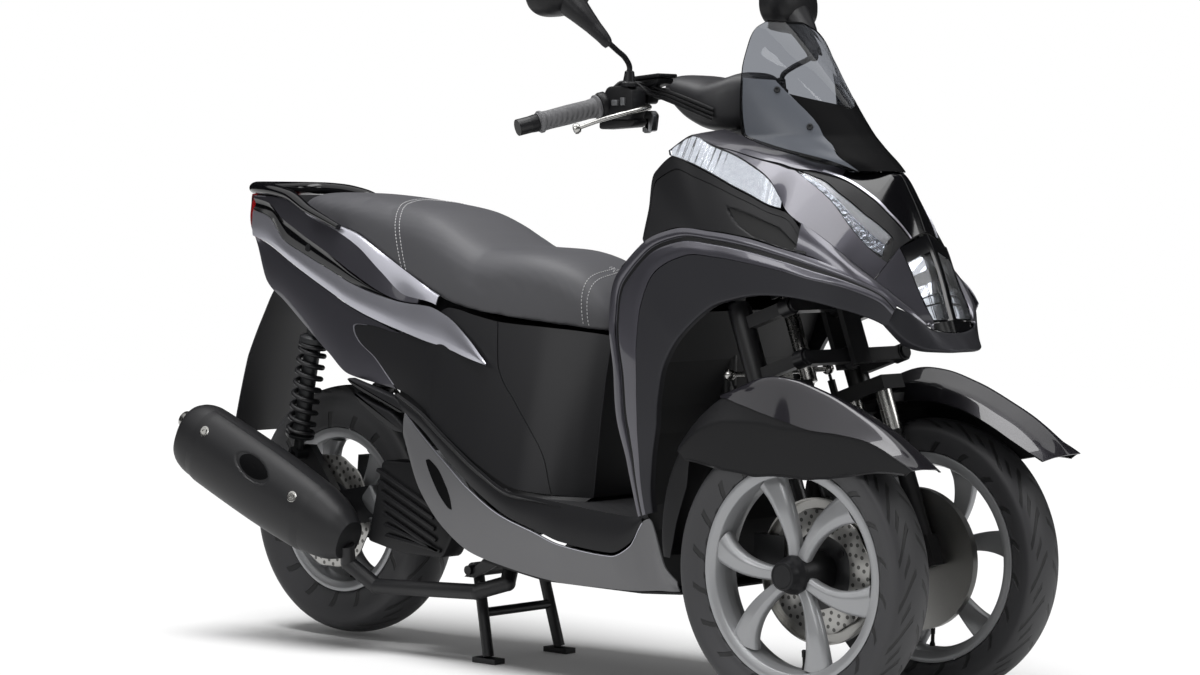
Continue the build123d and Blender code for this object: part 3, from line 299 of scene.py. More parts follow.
def block(outline, lo, hi, r=3.0, edge=1.5, place=None):
    """Plate of an outline between two heights: rings at the faces drawn in by edge, so its rims are eased."""
    q = eased(outline, r)
    d = np.roll(q, -1, 0) - np.roll(q, 1, 0)
    area = np.sum(q[:, 0] * np.roll(q[:, 1], -1) - np.roll(q[:, 0], -1) * q[:, 1])
    n = np.stack([d[:, 1], -d[:, 0]], -1) * np.sign(area)
    n /= np.maximum(np.linalg.norm(n, axis=1, keepdims=True), 1e-9)
    s = 1.0 if hi > lo else -1.0
    steps = [(edge, lo), (edge * 0.3, lo + s * edge * 0.3), (0, lo + s * edge), (0, hi - s * edge),
             (edge * 0.3, hi - s * edge * 0.3), (edge, hi)]
    place = place or (lambda a, b, h: np.stack([a, np.full_like(a, h), b], -1))
    P = np.stack([place(*(q - n * k).T, h) for k, h in steps])
    return closed(P)


def piece(name, forms, material, slot=None, node=None, body="body", sharp=40.0):
    """One object of several forms, its faces smooth but for edges sharper than an angle; it rides on a body and
    stands for a node. Its material is one, or the short name of a finish."""
    verts, loops, totals, base = [], [], [], 0
    for v, faces in forms:
        verts.append(v)
        for f in faces:
            loops.append((f + base).ravel())
            totals.append(np.full(len(f), f.shape[1]))
        base += len(v)
    verts, loops, totals = np.concatenate(verts) * 0.001, np.concatenate(loops), np.concatenate(totals)
    mesh = bpy.data.meshes.new(name)
    mesh.vertices.add(len(verts))
    mesh.vertices.foreach_set("co", verts.ravel())
    mesh.loops.add(len(loops))
    mesh.loops.foreach_set("vertex_index", loops.astype(np.int32))
    mesh.polygons.add(len(totals))
    mesh.polygons.foreach_set("loop_start", np.concatenate([[0], np.cumsum(totals)[:-1]]).astype(np.int32))
    mesh.polygons.foreach_set("loop_total", totals.astype(np.int32))
    mesh.update(calc_edges=True)
    if mesh.validate():
        raise RuntimeError(name + " has broken faces")
    mesh.shade_smooth()
    if sharp < 180:
        mesh.set_sharp_from_angle(angle=np.radians(sharp))
    mesh.materials.append(look()[material] if isinstance(material, str) else material)
    o = bpy.data.objects.new(name, mesh)
    bpy.context.scene.collection.objects.link(o)
    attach(o, body)
    if node:
        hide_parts(*([node] if isinstance(node, str) else node))
    return o


def twins(name, forms, *rest, **more):
    """A piece whose forms are on both sides."""
    return piece(name, both(forms), *rest, **more)


# ---- finishes ----
def add(tree, kind, inputs=(), **settings):
    """Adds a node, sets its settings, and sets or links its inputs, by name or in their order; a node there stands for
    its first output."""
    n = tree.nodes.new("ShaderNode" + kind)
    for key, value in settings.items():
        setattr(n, key, value)
    for key, value in inputs.items() if isinstance(inputs, dict) else enumerate(inputs):
        value = value.outputs[0] if isinstance(value, bpy.types.Node) else value
        if isinstance(value, bpy.types.NodeSocket):
            tree.links.new(value, n.inputs[key])
        else:
            n.inputs[key].default_value = value
    return n


def emptied(holder):
    """The node tree of a material or world, with nothing in it."""
    holder.use_nodes = True
    holder.node_tree.nodes.clear()
    return holder.node_tree


def finish(name, colour, metallic=0.0, rough=0.5, grain=2.0, relief=0.0, tone=0.05, drift=0.04, coat=0.0,
           coat_rough=0.03, clear=0.0, ior=1.5, stretch=(1, 1, 1), relief_from=None, painted_shade_from=None):
    """A Principled surface whose colour, roughness and relief wander over a grain size in mm, relief deep in mm. Its
    colour is sRGB hex, or a property's linear one. relief_from and painted_shade_from, given the node tree, put a
    height or a painted shade of their own in: the shade darkens the colour to a quarter where it is 1."""
    m = bpy.data.materials.get(name)
    if m:
        return m
    m = bpy.data.materials.new(name)
    t = emptied(m)
    where = add(t, "TexCoord").outputs["Object"]
    scaled = add(t, "Mapping", {"Vector": where, "Scale": stretch})
    noise = add(t, "TexNoise", {"Vector": scaled, "Scale": 1000.0 / grain, "Detail": 2.0})
    base = linear(colour) if isinstance(colour, str) else tuple(colour)
    low = tuple(c * (1 - tone) for c in base[:3]) + (1.0,)
    high = tuple(min(1.0, c * (1 + tone)) for c in base[:3]) + (1.0,)
    tone_and_shade = add(t, "Mix", {"Factor": noise, "A": low, "B": high}, data_type="RGBA").outputs["Result"]
    # painted shade: where the mask is 1, the colour is darkened to a quarter
    if painted_shade_from:
        tone_and_shade = add(t, "Mix", {"Factor": painted_shade_from(t, where), "A": tone_and_shade, "B": tuple(c * 0.25 for c in base[:3])
                              + (1.0,)}, data_type="RGBA").outputs["Result"]
    r = add(t, "MapRange", {"Value": noise, "To Min": max(0.0, rough - drift), "To Max": rough + drift})
    inputs = {"Base Color": tone_and_shade, "Roughness": r, "Metallic": metallic, "Coat Weight": coat,
              "Coat Roughness": coat_rough, "Transmission Weight": clear}
    if not metallic or clear:
        inputs["IOR"] = ior
    if relief_from:
        inputs["Normal"] = add(t, "Bump", {"Height": relief_from(t, where), "Distance": relief * 0.001})
    elif relief:
        inputs["Normal"] = add(t, "Bump", {"Height": noise, "Distance": relief * 0.001})
    shader = add(t, "BsdfPrincipled", inputs)
    add(t, "OutputMaterial", {"Surface": shader})
    m.diffuse_color = base
    return m


def wheel_angle(t, where, x, z):
    """Turn about a wheel's axle at x, z, from 0 to 1, and the radius from it in metres."""
    sep = add(t, "SeparateXYZ", [where])
    dx = add(t, "Math", [sep.outputs[0], -x * 0.001], operation="ADD")
    dz = add(t, "Math", [sep.outputs[2], -z * 0.001], operation="ADD")
    turn = add(t, "Math", [dz, dx], operation="ARCTAN2")
    r2 = add(t, "Math", [dx, dx], operation="MULTIPLY")
    r2 = add(t, "Math", [dz, dz, r2], operation="MULTIPLY_ADD")
    radius = add(t, "Math", [r2], operation="SQRT")
    return add(t, "Math", [turn, 1 / (2 * np.pi)], operation="MULTIPLY"), radius, sep.outputs[1]


def sipes(x, z, y, half, count):
    """Tread cuts of a tyre: 1 in a groove. Each is a curve on which count x turn + 2.1 x share ^ 1.7 is whole, share
    being |y| from the middle over the half width. It runs from 0.16 to 0.9 of the half width, every other one from
    0.42 to 0.74, and the two sides are half a step apart."""
    def made(t, where):
        turn, _, py = wheel_angle(t, where, x, z)
        off = add(t, "Math", [py, -y * 0.001], operation="ADD")
        side = add(t, "Math", [off], operation="SIGN")
        a = add(t, "Math", [add(t, "Math", [off], operation="ABSOLUTE"), half * 0.001], operation="DIVIDE")
        slant = add(t, "Math", [a, 1.7], operation="POWER")
        phase = add(t, "Math", [turn, float(count), add(t, "Math", [side, 0.25], operation="MULTIPLY")],
                    operation="MULTIPLY_ADD")
        phase = add(t, "Math", [slant, 2.1, phase], operation="MULTIPLY_ADD")
        f = add(t, "Math", [phase], operation="FRACT")
        d = add(t, "Math", [add(t, "Math", [f, 0.5], operation="SUBTRACT")], operation="ABSOLUTE")
        cut = add(t, "MapRange", {"Value": d, "From Min": 0.2, "From Max": 0.13}, interpolation_type="SMOOTHSTEP")
        whole = add(t, "Math", [add(t, "Math", [phase, 0.5], operation="MULTIPLY")], operation="FRACT")
        short = add(t, "Math", [whole, 0.5], operation="GREATER_THAN")
        start = add(t, "Math", [short, 0.26, 0.16], operation="MULTIPLY_ADD")
        inner = add(t, "Math", [a, start], operation="GREATER_THAN")
        end = add(t, "Math", [short, -0.16, 0.9], operation="MULTIPLY_ADD")
        outer = add(t, "Math", [a, end], operation="LESS_THAN")
        within = add(t, "Math", [inner, outer], operation="MULTIPLY")
        return add(t, "Math", [cut, within], operation="MULTIPLY")
    return made


def inverse(of):
    """A height of 1 outside the cuts and 0 in them."""
    return lambda t, where: add(t, "Math", [1.0, of(t, where)], operation="SUBTRACT")


def waves(axis, pitch, second=None):
    """Ribs pitch mm apart along an axis, as a height from 0 to 1; second adds ribs along a second axis."""
    def made(t, where):
        sep = add(t, "SeparateXYZ", [where])
        out = None
        for one in (axis,) + ((second,) if second is not None else ()):
            s = add(t, "Math", [sep.outputs[one], 2000 * np.pi / pitch], operation="MULTIPLY")
            s = add(t, "Math", [s], operation="SINE")
            out = s if out is None else add(t, "Math", [s, out], operation="MAXIMUM")
        return out
    return made


def finishes(colours):
    """All the finishes, by short name. colours holds the user's own."""
    f = {}
    # two-coat metallic enamel, clear-coated: flakes give a soft bright band, the clear coat a sharp one over it
    f["gunmetal"] = finish("metallic enamel gunmetal, clear coated", colours.body_paint, 0.78, 0.34, 1.2, tone=0.10,
                           coat=0.85, coat_rough=0.04)
    f["midnight"] = finish("metallic enamel midnight, clear coated", colours.fender_paint, 0.5, 0.36, 1.2, tone=0.10,
                           coat=1.0, coat_rough=0.03)
    # satin metallic enamel on the lower panels: the same flakes with a duller top coat
    f["silver"] = finish("metallic enamel grey, satin", colours.skirt_paint, 0.35, 0.42, 1.4, tone=0.06, coat=0.25,
                         coat_rough=0.2)
    # bright silver enamel on the tail strips; on the tail shelves, nose ridges and step trim lines it is painted
    # highlight where a top face, crease or edge catches the light
    f["bright"] = finish("metallic enamel silver, clear coated, and painted highlight", "#b4b4bd", 0.8, 0.30, 1.2, tone=0.05, coat=0.7)
    # ABS and polypropylene mouldings: mould grain 0.8 mm wide drawn 1.5 mm, so that it reads as an even dull grey
    f["abs_grey"] = finish("ABS dark grey, moulded satin", "#151517", 0.0, 0.42, 1.5, relief=0.02, ior=1.36)
    f["cover_grey"] = finish("ABS grey, moulded satin", "#262628", 0.0, 0.45, 1.5, relief=0.02, ior=1.4)
    f["pp_black"] = finish("polypropylene black, moulded grain", "#0e0e10", 0.0, 0.46, 1.5, relief=0.03, ior=1.36)
    f["graphite"] = finish("metallic enamel graphite, satin", "#2c2c30", 0.55, 0.42, 1.4, tone=0.06)
    f["abs_gloss"] = finish("ABS black, moulded gloss", "#08080a", 0.0, 0.12, 6.0, tone=0.02, drift=0.02)
    f["recess"] = finish("polypropylene black, unlit recess", "#0a0a0b", 0.0, 0.7, 4.0)
    # rubber: dull black with a weak broad sheen, its ribs and waves at their real pitch
    f["floor"] = finish("rubber mat black, moulded ribs", "#141416", 0.0, 0.6, 3.0, relief=0.5,
                        relief_from=waves(0, 9.0), tone=0.08)
    f["tyre"] = finish("tyre rubber, moulded", "#19191b", 0.0, 0.58, 5.0, relief=0.1, tone=0.06)
    f["grip"] = finish("nitrile rubber grey, moulded waves", "#626264", 0.0, 0.55, 3.0, relief=0.6,
                       relief_from=waves(1, 9.0))
    # cast aluminium under silver enamel: low metal share, broad sheen
    f["wheel"] = finish("cast aluminium, silver enamel", colours.wheel_paint, 0.45, 0.36, 1.5, tone=0.03, coat=0.3,
                        coat_rough=0.15)
    f["rim_dark"] = finish("cast aluminium, grey enamel", "#6f7072", 0.5, 0.4, 1.5, tone=0.03)
    f["cast"] = finish("cast aluminium, shot blasted", "#8d8e90", 1.0, 0.42, 2.5, relief=0.08, tone=0.06)
    f["case"] = finish("cast aluminium, black enamel", "#1d1e20", 0.3, 0.42, 3.0, relief=0.05)
    # ground and turned steel: fine marks that draw the highlight out
    f["steel"] = finish("stainless steel, ground", "#b4b3b0", 1.0, 0.26, 3.0, tone=0.05, stretch=(1, 0.15, 1))
    f["disc"] = finish("stainless steel, turned brake face", "#a3a29f", 1.0, 0.32, 1.5, tone=0.08)
    f["frame"] = finish("steel tube, black powder coat", "#151517", 0.1, 0.38, 1.2, relief=0.02, tone=0.08)
    # high-temperature paint: rough, warm black, slightly uneven
    f["heat"] = finish("steel, heatproof black paint", "#161618", 0.15, 0.5, 4.0, relief=0.03, tone=0.10, ior=1.4)
    # calendered PVC: soft sheen over a leather grain; its thread is pale and without gloss
    f["vinyl"] = finish("PVC seat cover, embossed leather grain", colours.seat_vinyl, 0.0, 0.52, 2.2, relief=0.12,
                        tone=0.06)
    f["thread"] = finish("polyester seam thread, light grey", "#b9b9ba", 0.0, 0.7, 0.8)
    # acrylic and polycarbonate mouldings: clear, polished from the mould
    f["smoke"] = finish("acrylic smoked, polished sheet", "#8b8e94", 0.0, 0.01, 30.0, tone=0.0, drift=0.005, clear=1.0,
                        ior=1.3)
    # ink printed on the sheet: flat black that takes no reflection
    f["print"] = finish("acrylic black, printed border", "#050506", 0.0, 0.5, 6.0, ior=1.15)
    # smoked sheet with a grey backing, polished
    f["fog_grey"] = finish("acrylic smoke grey, backed", "#505359", 0.0, 0.25, 6.0, tone=0.03, drift=0.02, ior=1.3)
    f["lens"] = finish("polycarbonate clear, polished lens", "#f4f5f7", 0.0, 0.02, 30.0, tone=0.0, drift=0.01,
                       clear=1.0, ior=1.1)
    f["red"] = finish("acrylic red, polished lens", "#8e0b10", 0.0, 0.08, 4.0, relief=0.2, coat=1.0,
                      relief_from=waves(1, 5.0, second=2))
    # mirrored plastic behind the lenses: flutes and pebbles break the light up
    f["reflector"] = finish("polycarbonate, aluminium mirrored, fluted", "#d6d9de", 0.9, 0.16, 9.0, relief=0.5,
                            relief_from=waves(0, 13.0), tone=0.12)
    f["textured"] = finish("polycarbonate, dark mirrored, pebbled", "#595b5f", 0.9, 0.22, 7.0, relief=2.5, tone=0.75)
    # silvered glass: a clean sharp image
    f["mirror"] = finish("silvered glass, polished", "#f0f1f3", 1.0, 0.02, 40.0, tone=0.0, drift=0.01)
    return f


COLOUR = {"subtype": "COLOR", "size": 4, "min": 0, "max": 1}


class ScooterLook(bpy.types.PropertyGroup):
    """Colours of the vehicle."""
    body_paint: FloatVectorProperty(name="Body paint", description="Metallic colour of nose, arches and tail",
                                    default=linear("#525158"), **COLOUR)
    fender_paint: FloatVectorProperty(name="Fender paint", description="Metallic colour of the front fenders",
                                      default=linear("#18161d"), **COLOUR)
    skirt_paint: FloatVectorProperty(name="Skirt paint", description="Satin colour of the lower skirts",
                                     default=linear("#606062"), **COLOUR)
    wheel_paint: FloatVectorProperty(name="Wheel paint", description="Enamel colour of the cast wheels",
                                     default=linear("#98999b"), **COLOUR)
    seat_vinyl: FloatVectorProperty(name="Seat cover", description="Colour of the seat's cover",
                                    default=linear("#424245"), **COLOUR)


class ScooterSizes(bpy.types.PropertyGroup):
    """Sizes that a maker might change."""
    panel_wall: FloatProperty(name="Panel wall", description="Thickness of the moulded panels", default=0.0026,
                              min=0.001, max=0.004, unit="LENGTH", subtype="DISTANCE")
    seam_gap: FloatProperty(name="Seam gap", description="Dark gap between the body side's panels", default=0.0018,
                            min=0.0005, max=0.004, unit="LENGTH", subtype="DISTANCE")
    stitch: FloatProperty(name="Stitch length", description="Length of one seat stitch", default=0.0045, min=0.002,
                          max=0.01, unit="LENGTH", subtype="DISTANCE")
    backdrop: FloatProperty(name="Backdrop", description="Radius of the studio floor", default=9.0, min=4, max=30,
                            unit="LENGTH", subtype="DISTANCE")
    lamp_power: FloatProperty(name="Overhead power", description="Watts of the overhead lamp", default=80.0, min=0,
                              max=2000, unit="POWER")


def look():
    return finishes(bpy.context.scene.scooter_look)


def wall_mm():
    return bpy.context.scene.scooter_sizes.panel_wall * 1000


# ---- the panels' lines ----
# angle about the arch centre, inner edge (radius, y), ridge (radius, y), outer edge (radius, y)
ARCH = [
    (66, 293, 136, 331, 133, 344, 127), (75, 293, 160, 335, 157, 353, 148), (85, 297, 179, 339, 183, 368, 166),
    (95, 305, 193, 355, 196, 387, 187), (105, 315, 205, 375, 209, 419, 202), (113, 322, 212, 394, 216, 450, 211),
    (121, 329, 218, 451, 226, 488, 219), (130, 328, 223, 468, 230, 507, 225), (138, 327, 226, 430, 232, 505, 230),
    (146, 323, 226, 400, 232, 474, 232), (157, 308, 225, 364, 230, 418, 229), (168, 296, 223, 342, 227, 388, 226),
    (180, 301, 220, 331, 222, 358, 221), (190, 309, 218, 330, 219, 350, 217), (196, 313, 216, 331, 217, 349, 215),
]
# y, rear foot (x, z), front (x, z), top (x, z)
CHIN = [
    (0, 874, 631, 878, 636, 853, 664), (30, 872, 631, 875, 634, 850, 666), (62, 855, 632, 860, 637, 843, 673),
    (75, 844, 633, 849, 638, 836, 683), (95, 823, 640, 829, 646, 824, 698), (118, 796, 672, 802, 674, 800, 713),
    (126, 783, 690, 789, 694, 789, 718),
]
# angle, lower edge (radius, y), shoulder (radius, y), radius on the middle plane
COWL = [
    (72, 354, 114, 412, 68, 437), (78, 372, 130, 443, 70, 492), (82, 388, 141, 465, 73, 527),
    (88, 414, 153, 500, 84, 545), (95, 452, 168, 527, 110, 568), (99, 512, 166, 552, 120, 586),
    (103, 548, 168, 572, 128, 605), (106, 573, 171, 590, 134, 622), (110, 604, 174, 614, 140, 644),
    (113, 634, 181, 640, 140, 660),
]
# angle, lower edge (radius, y), upper edge (radius, y)
NOSE = [
    (54, 318, 64, 327, 56), (60, 329, 82, 347, 63), (66, 341, 98, 374, 64), (71.5, 352, 112, 408, 68),
]
# angle, edge (radius, y), middle radius
LAMP = [
    (54, 326.5, 54, 331), (58, 341, 61, 349), (62, 355, 62, 372), (66, 375, 62.5, 397), (71.5, 408, 66.5, 433),
]
# angle, lower edge (radius, y), upper edge (radius, y)
TURN = [
    (96, 457, 171.5, 464, 167.5), (99, 467, 178, 510, 166.3), (103, 492, 186, 546, 168.4),
    (106, 513, 192, 571, 171.3), (110, 549, 199, 602, 174.6), (113, 578, 203, 632, 181.8),
    (116.5, 612, 208, 620, 206),
]
# angle, lower edge (radius, y), upper edge (radius, y)
MATTE = [
    (89, 378, 175, 392, 164), (95, 389, 187, 449, 168.7), (99, 402, 193, 464.5, 178), (103, 415, 199, 489.5, 186),
    (106, 425, 203, 510.5, 192), (110, 440.5, 207.6, 546.5, 199), (113, 452, 211, 575.5, 203),
    (116.5, 468.6, 214.5, 609, 208), (121, 490, 219, 604, 204), (125, 500, 221.7, 552, 214),
    (129, 507, 224.3, 514, 222),
]
# height, middle x, edge (x, y)
SCREEN = [
    (940, 733, 668, 70), (956, 717, 630, 90), (986, 690, 524, 128), (1006, 671, 484, 140), (1060, 620, 481, 142),
    (1118, 564, 481, 137), (1160, 522, 478, 118), (1192, 489, 473, 91), (1209, 471, 469, 50),
]
# x, z
FLOOR = [
    (330, 322), (300, 319), (80, 336), (10, 341), (-20, 352),
]
# x, top (z, y), bottom (z, y)
SKIRT = [
    (-313, 477, 181, 433, 185), (-252, 434, 191, 332, 200), (-179, 387, 202, 262, 205), (-113, 345, 210, 225, 205),
    (-26, 302, 215, 205, 202), (60, 278, 218, 191, 197), (130, 259, 220, 185, 194), (252, 249, 220, 185, 190),
    (298, 270, 219, 187, 189), (330, 318, 217, 190, 188), (341, 322, 216, 191, 187), (372, 236, 207, 192, 186),
    (396, 213, 202, 195, 194),
]
# x, top (z, y), bottom (z, y)
TRIM = [
    (-345, 512, 171, 490, 177), (-267, 482, 185, 453, 189), (-172, 430, 200, 390, 203), (-83, 381, 210, 337, 213),
    (-1, 346, 214, 299, 217.5), (75, 340, 215, 279, 219.5), (130, 335, 215, 265, 221.5), (252, 325, 215, 255, 221.5),
    (298, 323, 215, 276, 220.5), (326, 324, 215, 316, 219),
]
# x, crown z, underside z, half width, underside half width
SEAT = [
    (-742, 866, 852, 52, 44), (-720, 886, 850, 70, 62), (-660, 896, 838, 98, 92), (-600, 895, 826, 112, 108),
    (-522, 890, 811, 126, 122), (-425, 880, 768, 138, 134), (-335, 867, 728, 148, 146), (-269, 844, 699, 153, 152),
    (-223, 821, 684, 156, 155), (-163, 797, 672, 155, 154), (-64, 793, 661, 146, 145), (5, 780, 655, 134, 133),
    (58, 757, 650, 120, 117), (95, 730, 646, 106, 102), (126, 694, 644, 88, 84), (140, 668, 644, 70, 66),
]
# x, top (z, y), foot (z, y)
SIDE = [
    (-830, 805, 97, 800, 97), (-787, 790, 104, 716, 107), (-724, 763, 116, 678, 117), (-650, 732, 128, 632, 130),
    (-563, 697, 140, 580, 146), (-498, 671, 147, 542, 156), (-416, 646, 154, 528, 162), (-340, 627, 158, 516, 167),
    (-270, 655, 156, 488, 178), (-230, 678, 155, 463, 189), (-222, 680, 155, 458, 190), (-153, 667, 152, 420, 200),
    (-90, 656, 147, 388, 206), (0, 650, 133, 352, 208), (60, 645, 113, 344, 190), (100, 641, 98, 341, 160),
    (129.7, 636, 80, 338.5, 130),
]
# x, top (z, y), middle (z, y), foot (z, y)
TAIL = [
    (-842, 890, 95, 862, 96, 808, 97), (-787, 888, 99, 850, 106, 793, 105), (-724, 880, 103, 800, 119, 766, 117),
    (-650, 846, 113, 773, 130, 735, 129), (-563, 822, 128, 743, 141, 700, 141),
    (-498, 794, 134, 720, 148, 674, 148.5), (-416, 744, 146, 700, 155, 649, 155.5),
    (-340, 700, 154, 688, 158, 630, 160), (-270, 690, 160, 684, 163, 614, 165.5),
    (-221, 674, 164, 668, 165, 605, 168), (-153, 632, 172, 626, 173, 588, 176), (-96, 584, 181, 580, 182, 576, 183),
]
# angle about the axle, inner edge (radius, y), slope (radius, y), ridge (radius, y), crease radius, hem radius
FENDER = [
    (36, 322, -42.5, 332, -22.5, 338, 23.5, 338, 318), (43, 306, -46.5, 322, -22.5, 333, 29.5, 320, 276),
    (52, 294, -48.5, 314, -22.5, 327, 32.5, 302, 226), (64, 288, -49.5, 308, -22.5, 322, 33.5, 276, 190),
    (78, 286, -48.5, 309, -22.5, 328, 33.5, 256, 171), (90, 284, -42.5, 312, -17.5, 340, 33.5, 252, 169),
    (100, 284, -36.5, 316, -14.5, 347, 32.5, 262, 171), (110, 284, -32.5, 318, -12.5, 343, 31.5, 276, 176),
    (120, 284, -28.5, 318, -10.5, 341, 31.5, 296, 196), (130, 284, -34.5, 314, -14.5, 336, 33.5, 308, 226),
    (140, 284, -40.5, 308, -20.5, 328, 35.5, 312, 286),
]
# angle about the axle, inner edge (radius, y), back (radius, y), hem radius
REAR_GUARD = [
    (140.06, 300, -36.5, 322, 33.5, 288), (150, 296, -38.5, 314, 35.5, 264), (160, 288, -36.5, 303, 37.5, 260),
    (170, 279, -34.5, 294, 37.5, 260), (178, 272, -30.5, 287, 35.5, 264),
]
# share of the length, half height, half width
MUFFLER = [
    (0, 52, 42), (0.02, 66, 52), (0.1, 76, 58), (0.45, 78, 60), (0.78, 72, 56), (0.93, 58, 46), (1, 40, 32),
]


# ---- panels: a surface is a function of station and share ----
def at_share(P, s, w=0.22):
    """One place on each line of points (N, K, 3): s counts its points, and each corner is a parabola from w before it
    to w after it."""
    K, n = P.shape[1], np.arange(len(P))
    i = np.clip(np.floor(s).astype(int), 0, K - 2)
    f = (s - i)[:, None]
    line = P[n, i] * (1 - f) + P[n, i + 1] * f
    if K < 3:
        return line
    k = np.clip(np.rint(s).astype(int), 1, K - 2)
    u = np.clip((s - k + w) / (2 * w), 0, 1)[:, None]
    a, b = P[n, k] * (1 - w) + P[n, k - 1] * w, P[n, k] * (1 - w) + P[n, k + 1] * w
    return np.where((np.abs(s - k) < w)[:, None], a * (1 - u) ** 2 + 2 * P[n, k] * u * (1 - u) + b * u * u, line)


def surface(table, place, spread=None, w=0.22):
    """Function of arrays (station, share) over a table: through() along its stations, at_share() across them.
    spread turns the rows into places where a row isn't plain pairs."""
    def made(station, share):
        station, share = np.broadcast_arrays(np.asarray(station, float), np.asarray(share, float))
        t = through(table, 0, at=station.ravel())
        P = spread(t) if spread else place(t[:, :1], t[:, 1::2], t[:, 2::2])
        return at_share(P, share.ravel(), w).reshape(station.shape + (3,))
    return made


def over(f, lo, hi, n, s0, s1, m):
    """Whole grid of a surface between two stations and two shares."""
    return f(np.linspace(lo, hi, n)[:, None], np.linspace(s0, s1, m)[None])


def between(f, a, b, n, m):
    """Grid of a surface between two lines of (station, share) points, each made a smooth path."""
    A, B = smooth_path(a, n)[:, None], smooth_path(b, n)[:, None]
    v = np.linspace(0, 1, m)[None, :, None]
    q = A * (1 - v) + B * v
    return f(q[..., 0], q[..., 1])


def cut(P, outline, depth, edge=4.0, inside=None):
    """The grid with what lies inside an outline in x, z pushed depth mm in, over a smooth border edge mm wide."""
    q = P[..., [0, 2]].reshape(-1, 1, 2)
    a = np.asarray(outline, float)
    b = np.roll(a, -1, 0)
    ab = b - a
    t = np.clip(np.sum((q - a) * ab, -1) / np.sum(ab * ab, -1), 0, 1)
    d = np.linalg.norm(q - a - t[..., None] * ab, axis=-1).min(1)
    rise = np.where(ab[:, 1] == 0, 1, ab[:, 1])
    crosses = ((a[:, 1] > q[..., 1]) != (b[:, 1] > q[..., 1])) & (q[..., 0] < a[:, 0]
                                                                  + (q[..., 1] - a[:, 1]) / rise * ab[:, 0])
    s = np.clip(np.where(crosses.sum(1) % 2 == 1, d, 0) / edge, 0, 1)
    return P - normals(P, inside) * (depth * s * s * (3 - 2 * s)).reshape(P.shape[:2] + (1,))


def panel(P, t=None, deep=0.0, inside=None):
    """Closed shell of a grid, its face deep mm under the grid, or above it where deep is negative."""
    return wall(P - normals(P, inside) * deep, wall_mm() if t is None else t, inside)


def stud(P, size, height, inside=None, n=20):
    """Screw head on a grid's middle point: a low dome with a hex socket's shallow pan."""
    c = P[P.shape[0] // 2, P.shape[1] // 2]
    w = normals(P, inside)[P.shape[0] // 2, P.shape[1] // 2]
    return knob(c, w, [(size * 0.98, -1.0), (size, height * 0.5), (size * 0.86, height), (size * 0.45, height),
                       (size * 0.4, height * 0.35), (0.2, height * 0.3)], n)


# ---- wheels ----
TYRE_SHAPE = [(1.0, 0.0), (0.986, 0.30), (0.942, 0.60), (0.87, 0.85), (0.74, 1.0), (0.55, 0.98), (0.30, 0.86)]
FRONT_RIM = [(170, -29), (182, -33), (190, -33), (190, -29), (178, -25), (172, -10), (172, 10), (178, 25), (190, 29),
             (190, 33), (182, 33), (170, 29), (164, 9), (164, -9)]
REAR_RIM = [(146, -38), (158, -43), (166, -43), (166, -39), (153, -34), (148, -12), (148, 12), (153, 34), (166, 39),
            (166, 43), (158, 43), (146, 38), (140, 11), (140, -11)]
# degrees from the pair's middle to a spoke at the hub, and those added up to the rim
SPOKE_SPREAD, SPOKE_OPENS = 17.0, 14.5
# share of the way from hub to rim, half width, height of the face over its rim end, height of the back
SPOKE = [(0.0, 12.0, 5.0, 17.0), (0.14, 12.5, 4.5, 17.5), (0.34, 14.5, 1.0, 18.5), (0.6, 18.5, -2.5, 19.5),
         (0.84, 23.5, -1.0, 20.5), (1.0, 29.0, 2.5, 22.0)]


def tyre_form(x, z, y, r_out, half_w, r_seat, half_seat):
    """Carcass outline of heights over the bead seat turned about the axle, its corners eased."""
    h = r_out - r_seat
    outer = [(r_seat + h * a, half_w * b) for a, b in TYRE_SHAPE]
    side = outer + [(r_seat + h * 0.16, half_seat + 2), (r_seat + 0.3, half_seat)]
    inner = [(r_seat + 0.3, half_seat - 9), (r_seat + 0.3 + h * 0.45, half_w - 8), (r_out - 14, half_w * 0.55)]
    half = side + inner
    ring = half + [(r, -v) for r, v in half[::-1] if v > 0.01]
    return turned(eased(ring, 7.0, 4), x, z, y, n=168)


def spoke_form(x, z, y, out, middle, side, r0, r1):
    """A spoke swept from hub to rim: its angle from the pair's middle grows by a power of 1.25 of the way out; its
    section is a ridge near the outer side over a tapered box."""
    s = np.linspace(0, 1, 26)
    t = through(SPOKE, 26)
    r = r0 + (r1 - r0) * s
    off = SPOKE_SPREAD + SPOKE_OPENS * np.clip((s - 0.12) / 0.88, 0, 1) ** 1.25
    a = np.radians(middle + side * off)
    c = np.stack([x + r * np.cos(a), z + r * np.sin(a)], -1)
    d = np.gradient(c, axis=0)
    d /= np.linalg.norm(d, axis=1, keepdims=True)
    n = np.stack([-d[:, 1], d[:, 0]], -1) * side
    w, face, back = t[:, 1], t[:, 2], t[:, 3]
    section = eased([(-1.0, 1.0), (-1.08, 0.35), (-0.75, 0.06), (0.35, -0.10), (0.85, 0.10), (1.0, 0.35), (0.9, 1.0)],
                    0.16, 4)
    q = c[:, None] + n[:, None] * (w[:, None] * section[None, :, 0])[..., None]
    depth = 28.0 - face[:, None] - (back + 2)[:, None] * section[None, :, 1]
    P = np.stack([q[..., 0], y + out * depth, q[..., 1]], -1)
    return closed(P)


